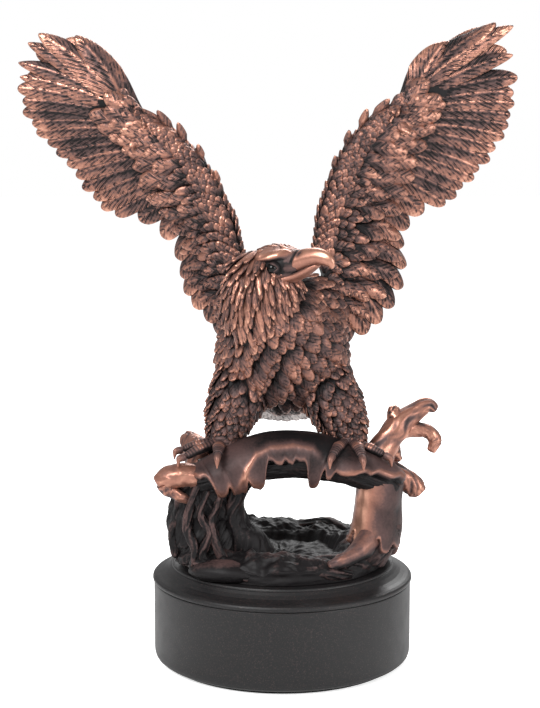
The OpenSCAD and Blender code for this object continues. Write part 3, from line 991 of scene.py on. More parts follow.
    def scales(self, face: float) -> list[Sheets]:
        """Small rounded feathers on the arm, pointing back and up along it.

        Args:
            face: 1 for the front, -1 for the back.

        Returns:
            Seven rows from behind the arm to the leading edge.
        """
        made = []
        vane = Vane(thick=0.8, camber=0.4, rachis=0.15, tip=4.0, rise=1.2, sink=0.7, rows=8, top=6, under=1,
                    base=0.42, bare=0.34)
        for j, c in enumerate([0.10, -0.02, -0.16, -0.32, -0.48, -0.64, -0.80]):
            count = 26
            k = np.arange(count) + (0.5 if j % 2 else 0.0)
            f = 0.6 + (self.last - 0.8) * k / count
            jitter = np.sin(k * 7.7 + j * 2.3 + self.seed)
            roots, n0 = self.place(f + 0.1, np.full(count, c) + 0.03 * jitter, face)
            ahead, n1 = self.place(f - 0.45, np.full(count, c + 0.13), face)
            reach = unit(ahead - roots) * (6.6 + 1.0 * jitter)[:, None]
            normals = unit(n0 + n1)
            made.append(
                vane.grow(roots, roots + reach + normals * 0.3, normals, 2.5 + 0.35 * jitter, self.seed + j)
            )
        return made

    def spurs(self) -> Sheets:
        """Pointed feathers of the back that stand out past the leading edge.

        Returns:
            The feathers.
        """
        vane = Vane(thick=0.9, camber=0.2, rachis=0.4, tip=1.8, rise=0.5, sink=0.6, rows=8, top=5, under=2)
        f = np.array([2.1, 3.1, 4.2, 5.6, 7.2, 9.0])
        roots, _ = self.place(f, np.full(len(f), -0.80), -1.0)
        up, _ = self.place(f - 1.6, np.full(len(f), -0.95), -1.0)
        _, tips, _, normal = self.rays(f)
        chord = unit(tips - roots)
        reach = unit(unit(up - roots) - chord * 0.6) * np.array([17, 15, 12, 10, 8, 7.0])[:, None]
        return vane.grow(roots, roots + reach, normal, np.array([3.6, 3.4, 3.0, 2.7, 2.4, 2.2]), self.seed)

    def build(self, finishes: Finishes) -> None:
        """Make the wing's pieces and dress them.

        Args:
            finishes: the finishes.
        """
        big = Vane(thick=1.1, camber=0.38, rachis=0.55, tip=3.6, rise=1.7, sink=1.0, rows=12, top=9, under=3,
                   base=0.45, bare=0.34)
        end = float(self.last)
        coverts = [
            self.row(low, end, count, c_tip, length, wide, face, big, shift, lift)
            for face in (1.0, -1.0)
            for low, count, c_tip, length, wide, shift, lift in self.covert_rows
        ]
        small = [*self.scales(1.0), *self.scales(-1.0), self.spurs()]
        finishes.cast(self.node + "_flight", self.flight(), self.node, "bronze_flight")
        finishes.cast(self.node + "_coverts", coverts, self.node, "bronze_covert")
        finishes.cast(self.node + "_scales", small, self.node, "bronze_down")
        finishes.cast(self.node + "_skin", [self.skin()], self.node, "bronze_skin")
        LOG.info("%s: %d flight feathers", self.node, self.last + 1)


def plumage(
    limb: Limb, rows: int, round_count: int, length: float, wide: float, vane: Vane, seed: float,
    span: tuple[float, float] = (0.0, 1.0), twist: float = 0.0, taper: float = 1.0,
) -> list[Sheets]:
    """Rows of feathers round a tube, pointing along it, each row shifted by half a feather.

    Args:
        limb: the tube that they lie on.
        rows: how many rows.
        round_count: feathers in a row.
        length: their length in millimetres.
        wide: their half-width in millimetres.
        vane: the kind of feather.
        seed: picks the small differences.
        span: where along the tube the roots start and stop.
        twist: how far round, in radians, a tip lies from its root.
        taper: how large the last row is against the first.

    Returns:
        The rows.
    """
    made = []
    total = np.linalg.norm(np.diff(limb.centre(np.linspace(0, 1, 80)), axis=0), axis=1).sum()
    for i in range(rows):
        share = i / max(rows - 1, 1)
        size = 1 + (taper - 1) * share
        k = np.arange(round_count)
        jitter = np.sin(k * 9.1 + i * 4.7 + seed)
        a = (k + 0.5 * (i % 2) + 0.22 * jitter) / round_count * 2 * np.pi
        t = np.clip(span[0] + (span[1] - span[0]) * share + 0.010 * np.cos(k * 5.3 + i), 0, 0.995)
        reach = length * size * (1 + 0.16 * jitter)
        roots, normals = on_tube(limb, t, a)
        ahead, normals_ahead = on_tube(limb, np.minimum(t + 0.02, 1.0), a + twist * 0.02 * total / length)
        behind, _ = on_tube(limb, np.maximum(t - 0.02, 0.0), a - twist * 0.02 * total / length)
        direction = unit(ahead - behind)
        outwards = unit(normals + normals_ahead)
        widths = wide * size * (1 + 0.12 * jitter)
        made.append(vane.grow(roots, roots + direction * reach[:, None], outwards, widths, seed + i))
    return made


def on_tube(limb: Limb, t: Array, a: Array) -> tuple[Array, Array]:
    """Points on a tube and their outward normals.

    Args:
        limb: the tube.
        t: places along it.
        a: angles round it.

    Returns:
        Points in millimetres and unit normals.
    """
    values = curve(limb.knots, t)
    before, after = curve(limb.knots, np.maximum(t - 0.01, 0)), curve(limb.knots, np.minimum(t + 0.01, 1))
    along = unit(after[..., :3] - before[..., :3])
    side = unit(np.cross(along, np.broadcast_to(np.asarray(limb.up, float), along.shape)))
    over = np.cross(side, along)
    wide, high = values[..., 3:4], values[..., 4:5]
    ca, sa = np.cos(a)[..., None], np.sin(a)[..., None]
    point = values[..., :3] + side * wide * ca + over * high * sa
    normal = unit(side * ca / wide + over * sa / high)
    return point, normal


@dataclass
class Body:
    """Breast, belly and back as two tubes that grow into each other, the shoulders and the feathered thighs.

    Attributes:
        trunk: the breast and belly, from the throat to the tail's root.
        back: the back, from the nape to the tail's root.
        thighs: each leg's node and its tube's knots, from the hip to the foot.
    """

    trunk: Limb = field(
        default_factory=lambda: Limb(
            [
                [-5, -22, 171, 13, 13], [-3, -18, 164, 18, 17], [-1, -11, 155, 25, 20], [0, -4, 146, 28, 22],
                [0, 3, 138, 27, 21], [1, 12, 131, 23, 17], [2, 22, 125, 16, 12], [2, 32, 120, 10, 7],
            ],
            rows=80, cols=56,
        )
    )
    back: Limb = field(
        default_factory=lambda: Limb(
            [[-3, -12, 176, 10, 9], [-1, -3, 166, 17, 12], [0, 5, 156, 20, 14], [1, 13, 145, 20, 15],
             [1, 21, 134, 17, 12], [2, 30, 125, 11, 8]],
            rows=60, cols=48,
        )
    )
    thighs: tuple[tuple[str, list[list[float]]], ...] = (
        ("leg_left", [
            [-15, 0, 141, 12, 12], [-18, -6, 131, 12, 13], [-22, -9, 121, 11, 12], [-25, -13, 113, 8.8, 9.6],
            [-27.3, -17, 106, 5.6, 6], [-28, -19, 103.5, 4.4, 5],
        ]),
        ("leg_right", [
            [16, 0, 141, 12, 12], [19, -6, 131, 12, 13], [24, -9, 121, 11.4, 12], [28.5, -13, 113, 8.8, 9.6],
            [31, -17, 106, 5.6, 6], [31.3, -19, 103.5, 4.4, 5],
        ]),
    )

    def build(self, finishes: Finishes) -> None:
        """Make the body's pieces and dress them.

        Args:
            finishes: the finishes.
        """
        small = Vane(thick=0.8, camber=0.40, rachis=0.3, tip=3.6, rise=1.7, sink=0.7, rows=8, top=6, under=1,
                     base=0.42, bare=0.34)
        for limb, name in ((self.trunk, "breast"), (self.back, "back")):
            swell = 0.4 * rough(spots(*limb.grid()) * [30, 3, 1], 3.0)
            finishes.cast("eagle_body_" + name, [limb.surface(swell, 0.3)], "eagle_body", "bronze_skin")
        feathers = plumage(self.trunk, 19, 28, 9.6, 3.5, small, 1.0, (0.02, 0.95), 0.15)
        feathers += plumage(self.back, 12, 17, 12.5, 4.4, small, 2.0, (0.02, 0.95), 0.0)
        for side in (-1.0, 1.0):
            shoulder = Limb(
                [[side * 3, -6, 170, 10, 9], [side * 10, -3, 168, 11, 10], [side * 16, 0, 164, 9, 11],
                 [side * 19, 3, 157, 8, 9], [side * 19, 7, 149, 6, 7]], rows=50, cols=40, up=(0, 0.3, 1),
            )
            feathers.append(shoulder.surface(0.0, 0.1))
            feathers += plumage(shoulder, 8, 15, 10.5, 3.4, small, 5.0 + side, (0.05, 0.9), 0.0)
        finishes.cast("eagle_body_feathers", feathers, "eagle_body", "bronze_down")
        darker = replace(small, base=0.32, edge=0.36)
        for name, knots in self.thighs:
            leg = Limb(knots, rows=50, cols=36, up=(0, -1, 0.2))
            coat = plumage(leg, 15, 17, 8.5, 3.0, darker, 4.0, (0.04, 0.90), 0.25, 0.62)
            finishes.cast(name + "_core", [leg.surface(0.0, 0.3)], name, "bronze_skin")
            finishes.cast(name + "_feathers", coat, name, "bronze_down")
        LOG.info("body and thighs")


@dataclass
class Head:
    """Neck, skull with its brows, hooked beak and eyelids, in a frame of forward, side and up.

    Attributes:
        centre: the skull's centre in millimetres.
        forward: unit vector to the beak.
        side: unit vector to the eye that faces the front.
        skull: rows of place forward, height of the top and of the bottom, and half-width.
        eye: the eyes' place forward, out to the side and up.
    """

    centre: Point = (-4.0, -30.0, 186.0)
    forward: Point = (0.80, -0.60, 0.0)
    side: Point = (-0.60, -0.80, 0.0)
    eye: Point = (6.6, 8.4, 0.2)
    skull: tuple[tuple[float, float, float, float], ...] = (
        (-14, -2, -6, 1.5), (-11, 4, -10, 7), (-6, 8, -12, 10), (0, 9.7, -11, 11), (5, 9.8, -8.5, 10.2),
        (9, 8.8, -6.2, 8.6), (12, 7.2, -5, 7.0), (14.5, 6.4, -3.6, 5.6),
    )

    def world(self, f: Array, s: Array, u: Array) -> Array:
        """Points from the head's frame, in millimetres."""
        f, s, u = (np.asarray(x, float)[..., None] for x in (f, s, u))
        return np.array(self.centre) + f * self.forward + s * self.side + u * np.array([0.0, 0.0, 1.0])

    def limb(self, knots: list[list[float]], **kind: object) -> Limb:
        """A tube whose knots are forward, side, up, half-width and half-height."""
        k = np.array(knots, float)
        return Limb(np.concatenate([self.world(*k[:, :3].T), k[:, 3:5]], axis=1).tolist(), **kind)

    def skull_point(self, f: Array, a: Array) -> tuple[Array, Array]:
        """Points on the skull, whose sections are ellipses, and their outward normals.

        Args:
            f: places forward.
            a: angles round, from the side upwards.

        Returns:
            Points in millimetres and unit normals.
        """
        table = np.array(self.skull)
        top, low, half = (np.interp(f, table[:, 0], table[:, k]) for k in (1, 2, 3))
        mid, tall = (top + low) / 2, (top - low) / 2
        out, rise = np.cos(a) / np.maximum(half, 1), np.sin(a) / np.maximum(tall, 1)
        normal = unit(self.world(0 * f - 0.1 * f / 14, out, rise) - self.centre)
        return self.world(f, half * np.cos(a), mid + tall * np.sin(a)), normal

    def skull_surface(self) -> Sheets:
        """The skull: a brow raised and a socket sunk along each side, and strands drawn back over it.

        The brow's edge and the socket's foot are heights drawn through chosen points along the head.

        Returns:
            The closed skull.
        """
        f = np.linspace(-14, 14.5, 150)
        a = np.arange(180) / 180 * 2 * np.pi
        ff, aa = np.meshgrid(f, a, indexing="ij")
        points, normal = self.skull_point(ff, aa)
        up = points[..., 2] - self.centre[2]
        wide = smoothstep(0.25, 0.6, np.abs(np.cos(aa)))
        brow = np.interp(ff, [-8, -2, 4, 9, 13, 15], [1.0, 2.3, 3.3, 4.5, 6.0, 6.8])
        span = smoothstep(-7, -1, ff)
        ridge = smoothstep(-0.7, 0.5, up - brow) * (1 - smoothstep(1.2, 5.0, up - brow)) * span * wide
        sill = np.interp(ff, [-6, -2, 4, 8, 12], [1.0, -0.8, -2.4, -2.8, -3.2])
        socket = smoothstep(0.4, -0.4, up - brow) * smoothstep(-0.6, 0.9, up - sill)
        socket = socket * smoothstep(-6, -1.5, ff) * wide
        strand = rough(spots(ff * 0.14 + up * 0.05, (up - 0.35 * ff) * 0.55), 5.0)
        points = points + normal * (1.5 * ridge - 1.1 * socket + 0.3 * strand * (1 - socket))[..., None]
        lore = smoothstep(8.5, 10.5, ff)
        brow_end = smoothstep(6, 9, up) * smoothstep(6, 12, ff)
        # Below the brow the socket is darkened as painted shade of the brow, less towards the front.
        relief = 0.50 + 0.30 * strand + 0.28 * ridge - (0.75 - 0.45 * lore) * socket - 0.12 * brow_end
        uv = np.stack([ff, aa * 9], axis=-1)
        return Sheets(points[None] * MM, np.clip(relief, 0, 1)[None], uv[None])

    def beak(self) -> list[Sheets]:
        """The hooked upper beak with its cere and nostrils, and the lower beak under it.

        The cere ends in a groove along a sloping line, and a nostril is a hollow ahead of it on each side.

        Returns:
            The two halves.
        """
        upper = self.limb(
            [[7.5, 0, 2.2, 6.6, 5.2], [11.5, 0, 2.4, 6.2, 5.2], [15.6, 0, 3.4, 5.3, 4.5],
             [20, 0, 4.7, 4.4, 3.9], [24, 0, 5.2, 3.6, 3.4], [27.8, 0, 4.4, 2.8, 3.0],
             [30.2, 0, 2.5, 1.7, 2.0], [31.0, 0, 0.4, 0.3, 0.4]], rows=130, cols=64, round_ends=(0.05, 0.0),
        )
        t, a = upper.grid()
        row = curve(upper.knots, t[:, 0])
        f = (row[:, :3] - self.centre) @ np.array(self.forward)
        u = row[:, 2] - self.centre[2]
        cere = f[:, None] - (10.4 + 0.44 * (u[:, None] + row[:, 4:5] * np.sin(a) + 3.9))
        nostril = sum(np.exp(-((cere - 1.9) ** 2 + (a - at) ** 2 * 9) * 0.9) for at in (0.75, 2.4))
        groove = bump(cere, 0, 0.55)
        relief = 0.66 + 0.10 * np.sin(a) - 0.75 * groove - 0.6 * nostril - 0.32 * smoothstep(0.0, -0.8, cere)
        swell = 0.4 * bump(np.sin(a), 1, 0.3) - 0.5 * groove - 0.4 * nostril
        top = upper.surface(swell, np.clip(relief, 0, 1))
        lower = self.limb(
            [[2, 0, -5.8, 7.4, 2.6], [7, 0, -5.2, 6.8, 2.5], [12, 0, -4.0, 5.4, 2.1],
             [16.5, 0, -2.1, 4.3, 1.8], [20.5, 0, 0.1, 3.2, 1.5], [24.2, 0, 1.9, 1.8, 0.9]], rows=50, cols=36,
        )
        t, a = lower.grid()
        return [top, lower.surface(0.0, 0.62 - 0.35 * bump(np.sin(a), 0.75, 0.3))]

    def lids(self, side: float) -> Sheets:
        """The eyelids: a shell round the eye with an almond opening.

        From the opening's edge the shell follows a sphere back into the skull, then returns inside the eye.

        Args:
            side: 1 for the left eye and -1 for the right.

        Returns:
            The closed shell.
        """
        phi = np.linspace(0, 2 * np.pi, 73)
        almond = 1 / (np.abs(np.cos(phi) / 1.05) ** 1.5 + np.abs(np.sin(phi) / 0.58) ** 1.5) ** (1 / 1.5)
        out = np.linspace(0, 1, 9)
        fall = np.concatenate([out, out[::-1]])
        radius = np.concatenate([np.full(9, 3.05), np.full(9, 2.42)])
        alpha = almond[:, None] + (1.75 - almond[:, None]) * fall
        f = self.eye[0] + radius * np.sin(alpha) * np.cos(phi)[:, None]
        u = self.eye[2] + radius * np.sin(alpha) * np.sin(phi)[:, None]
        points = self.world(f, side * (self.eye[1] + radius * np.cos(alpha)), u)
        if side < 0:
            points = points[:, ::-1]
        relief = 0.06 + 0.30 * (1 - fall[None]) ** 3 + 0 * alpha
        return Sheets(points[None] * MM, relief[None], np.stack([f, u], axis=-1)[None])

    def hackles(self) -> tuple[list[Sheets], list[Sheets], Limb]:
        """Long pointed feathers down the neck and over the cheeks, short ones over the skull, and the neck.

        Returns:
            The long feathers, the short ones and the tube that the neck's feathers lie on.
        """
        neck = Limb(
            [[-7, -26, 191, 7, 7], [-8, -27, 187, 10.5, 9.5], [-8.6, -27.5, 182, 13, 11.5],
             [-9, -26.5, 176, 14.6, 13], [-8.5, -23, 169, 16.6, 15], [-6, -15, 158, 17, 15],
             [-3, -9, 150, 16, 13]], rows=60, cols=48, up=(0, -1, 0.3),
        )
        long = Vane(thick=0.8, camber=0.4, rachis=0.3, tip=1.9, rise=0.9, sink=0.6, rows=10, top=6, under=2,
                    edge=-0.5, base=0.52, bare=-0.1)
        rows = plumage(neck, 10, 25, 12.5, 2.2, long, 6.0, (0.05, 0.66), 0.2)
        rows += self.cheeks(long)
        short = Vane(thick=0.5, camber=0.3, rachis=0.1, tip=1.9, rise=0.2, sink=0.5, rows=8, top=5, under=1,
                     edge=-0.4, base=0.52, bare=-0.2)
        cap = []
        for i, f in enumerate(np.linspace(10.5, -12.0, 9)):
            count = 20
            k = np.arange(count)
            a = (k + 0.5 * (i % 2)) / count * 2 * np.pi
            start, n0 = self.skull_point(np.full(count, f), a)
            end, n1 = self.skull_point(np.full(count, max(f - 5.5, -13.8)), a)
            eyes = [self.world(3.0, side * 8.6, 0.8) for side in (1, -1)]
            eye_gap = np.minimum(*(np.linalg.norm(start - eye, axis=1) for eye in eyes))
            keep = (eye_gap > 6.5) & (np.sin(a) > -0.75) & ((f < 0) | (np.sin(a) > 0.9))
            size = 1.2 + 0.35 * np.sin(k * 3.3 + i)
            droop = np.array([0.0, 0.0, -4.0]) * smoothstep(0.0, -12.0, np.full(1, f))[0]
            reach = unit(end - start + droop) * (5.5 + 0.10 * (10 - f))
            normals = unit(n0 + n1)
            tips, widths = start + reach, size * 1.15
            cap.append(short.grow(start[keep], tips[keep], normals[keep], widths[keep], 8.0 + i))
        return rows, cap, neck

    def cheeks(self, vane: Vane) -> list[Sheets]:
        """Long pointed feathers swept back and down from the mouth over the cheeks and the throat.

        Args:
            vane: the kind of feather.

        Returns:
            Eight rows, from the mouth backwards.
        """
        made = []
        for i, f in enumerate([8.0, 5.5, 3.0, 0.5, -2.0, -4.5, -7.0, -9.5]):
            stop = 6.0 if f > 3 else 30.0 if f > -3 else 60.0
            low = np.radians(np.arange(-88.0, stop, 15.0) + 5.0 * (i % 2))
            a = np.concatenate([low, np.pi - low])
            if f > 3:
                a = a[np.sin(a) < -0.42]
            a = a[np.sin(a) < (-0.28 if f > -2 else 0.1)]
            start, normal = self.skull_point(np.full(len(a), f), a)
            back = -np.array(self.forward) * (0.8 - 0.07 * i) - np.array([0.0, 0.0, 0.62 + 0.06 * i])
            along = unit(back - normal * (normal @ back)[:, None])
            size = 1 + 0.18 * np.sin(np.arange(len(a)) * 3.7 + i)
            reach = along * ((10.0 + 0.3 * i) * size)[:, None]
            made.append(vane.grow(start, start + reach - normal * 0.5, normal, 1.7 * size, 30.0 + i))
        return made

    def build(self, finishes: Finishes) -> None:
        """Make the head's pieces and dress them.

        Args:
            finishes: the finishes.
        """
        rows, cap, neck = self.hackles()
        face = [self.skull_surface(), self.lids(1.0), self.lids(-1.0)]
        for name, sheets, finish in (
            ("eagle_neck", [neck.surface(0.0, 0.25)], "bronze_skin"),
            ("eagle_hackles", rows, "bronze_hackle"),
            ("eagle_crown_feathers", cap, "bronze_hackle"),
            ("eagle_skull", face, "bronze_smooth"),
            ("eagle_beak", self.beak(), "bronze_smooth"),
        ):
            finishes.cast(name, sheets, "eagle_head", finish)
        LOG.info("head")


@dataclass
class Tail:
    """A fan of long feathers from the rump, tipped down behind the perch, with coverts over its root.

    Attributes:
        root: where the fan starts, in millimetres.
        tilt: how far it tips down, in radians.
        reach: length of its feathers from the root in millimetres.
        spread: angle from its first feather to its last, in radians.
        count: how many long feathers.
    """

    root: Point = (2.0, 30.0, 122.0)
    tilt: float = math.radians(-31)
    reach: float = 40.0
    spread: float = math.radians(56)
    count: int = 9

    def turned(self, p: Array) -> Array:
        """Points tipped down about the root and set in place.

        Args:
            p: points with the fan lying flat and pointing back from nought.

        Returns:
            The points in millimetres.
        """
        c, s = math.cos(self.tilt), math.sin(self.tilt)
        y, z = p[..., 1] * c - p[..., 2] * s, p[..., 1] * s + p[..., 2] * c
        return np.stack([p[..., 0], y, z], axis=-1) + self.root

    def fan(
        self, count: int, start: float, end: float, lift: float, wide: float, vane: Vane, seed: float
    ) -> Sheets:
        """One layer of the fan.

        Args:
            count: how many feathers.
            start: how far out their roots are.
            end: how far out their tips are.
            lift: how far off the fan's plane they lie.
            wide: half-width in millimetres.
            vane: the kind of feather.
            seed: picks the small differences.

        Returns:
            The feathers.
        """
        a = self.spread * (np.arange(count) / (count - 1) - 0.5)
        rise = lift + 0.9 * np.cos(a * 3)
        far = end * (1 - 0.10 * np.abs(a) / 0.5)
        roots = np.stack([start * np.sin(a), start * np.cos(a), rise], axis=1)
        tips = np.stack([far * np.sin(a), far * np.cos(a), rise - 1.0 * (lift == 0)], axis=1)
        up = self.turned(np.array([0, 0, 1.0])) - self.root
        normals = np.broadcast_to(up * np.sign(lift + 0.01), roots.shape)
        return vane.grow(self.turned(roots), self.turned(tips), normals, np.full(count, wide), seed, 0.12)

    def build(self, finishes: Finishes) -> None:
        """Make the tail and dress it.

        Args:
            finishes: the finishes.
        """
        long = Vane(thick=1.5, camber=0.14, rachis=0.6, tip=8.0, rise=0.0, sink=0.0, rows=34, top=13, under=9,
                    hidden=0.5)
        short = Vane(thick=1.2, camber=0.24, rachis=0.4, tip=5.0, rise=0.6, sink=0.8, rows=12, top=7, under=3)
        layers = [self.fan(self.count, 2.0, self.reach, 0.0, 5.0, long, 1.0)]
        covers = ((7, -2.0, 23.0, 2.2, 4.6, 2.0), (6, -5.0, 14.0, 3.4, 4.4, 4.0))
        for count, start, end, lift, wide, seed in covers:
            layers.append(self.fan(count, start, end, lift, wide, short, seed))
            layers.append(self.fan(count, start, end, -lift, wide, short, seed + 1.0))
        root = Limb([[2, 24, 127, 10, 7], [2, 31, 122, 9.5, 5], [2, 40, 116.5, 9, 2.5]], rows=30, cols=32)
        finishes.cast("tail_feathers", layers, "tail", "bronze_tail", Slot.DARK_BRONZE)
        finishes.cast("tail_root", [root.surface(0.0, 0.3)], "tail", "bronze_skin", Slot.DARK_BRONZE)
        LOG.info("tail: %d feathers", self.count)


@dataclass
class Foot:
    """Three ringed front toes and a hind toe, each ending in a curved claw that holds the perch.

    Attributes:
        node: the CAD node that it replaces.
        palm: where the toes meet, in millimetres.
        toes: each toe's rows of x, y, z and radius, from the palm to the claw's tip.
    """

    node: str
    palm: Point
    toes: list[list[list[float]]]

    def build(self, finishes: Finishes) -> None:
        """Make the foot and dress it.

        The toes' upper side carries rings, as a rectified sine along the toe, and two knuckles.

        Args:
            finishes: the finishes.
        """
        made = []
        palm = np.array(self.palm)
        ankle = Limb(
            [[*(palm + [0, 2.5, 7.0]), 4.4, 4.8], [*(palm + [0, 1, 3.5]), 4.6, 5.2], [*palm, 5.2, 5.8],
             [*(palm + [0, -0.5, -2.5]), 4.0, 4.6]], rows=40, cols=28, up=(0, -1, 0.1),
        )
        t, a = ankle.grid()
        made.append(ankle.surface(0.25 * np.abs(np.sin(t * 22)) ** 0.7, 0.14 + 0.24 * np.abs(np.sin(t * 22))))
        for toe in self.toes:
            k = np.array(toe, float)
            start = np.concatenate([palm * 0.5 + k[0, :3] * 0.5, [k[0, 3]]])[None]
            pad = np.concatenate([start, k[:-1]])
            pad = np.concatenate([pad, pad[:, 3:4] * 0.95], axis=1)
            pad[:, 3:] *= 0.75
            finger = Limb(pad.tolist(), rows=170, cols=28, round_ends=(0.1, 0.14))
            t, a = finger.grid()
            rings = np.abs(np.sin(t * np.pi * 19.0))
            upper = smoothstep(-0.2, 0.5, np.sin(a))
            knuckle = bump(t, 0.38, 0.07) + bump(t, 0.68, 0.07)
            swell = 0.17 * (rings**0.5 - 0.6) * upper + 0.42 * knuckle
            relief = 0.06 + 0.30 * rings * upper + 0.30 * knuckle * upper
            made.append(finger.surface(swell, np.clip(relief, 0, 1)))
            joint = k[-2, :3]
            tip = joint + (k[-1, :3] - joint) * 0.8
            way = unit(tip - joint)
            bend = joint + way * 3.4 + np.array([0, 0, 1.6])
            claw = Limb(
                [[*joint, k[-2, 3] * 0.62, k[-2, 3] * 0.70], [*bend, 1.5, 1.7],
                 [*(tip + [0, 0, 1.4]), 1.1, 1.2], [*(tip + way * 0.6 - [0, 0, 1.2]), 0.25, 0.25]],
                rows=30, cols=18, round_ends=(0.1, 0.0),
            )
            made.append(claw.surface(0.0, 0.30 + 0.35 * claw.grid()[0]))
        finishes.cast(self.node + "_toes", made, self.node, "bronze_smooth")
        LOG.info("%s: %d toes", self.node, len(self.toes))


# ---------------------------------------------------------------- the driftwood


@dataclass
class Wood:
    """One piece of driftwood: a tube with grooves along its grain, twisted round it, and rubbed ridges.

    Attributes:
        limb: the tube.
        grooves: how many grooves round it.
        depth: their depth in millimetres.
        twist: turns of the grain from end to end.
        lumps: height of its uneven swellings in millimetres.
        base: relief of the wood between ridges.
        seed: picks the pattern.
    """

    limb: Limb
    grooves: float = 9.0
    depth: float = 0.8
    twist: float = 0.3
    lumps: float = 0.8
    base: float = 0.35
    seed: float = 0.0

    def surface(self) -> Sheets:
        """The wood's surface: noise stretched along the grain, sharpened so that ridges are narrow.

        A ridge is 1 minus twice the size of the noise, which is highest where the noise changes sign.

        Returns:
            The closed tube.
        """
        t, a = self.limb.grid()
        waver = 0.5 * noise(spots(t * 5), self.seed + 4)
        turn = a + self.twist * 2 * np.pi * t + waver
        ridge = 1 - np.abs(rough(around(turn, self.grooves / 3.2, t * 4.5), self.seed)) * 2.1
        lump = rough(around(a, 0.9, t * 5.0), self.seed + 9, 2)
        swell = self.depth * (ridge - 0.45) + self.lumps * lump
        relief = self.base + 0.42 * (ridge - 0.55) + 0.14 * lump
        return self.limb.surface(swell, np.clip(relief, 0, 1))


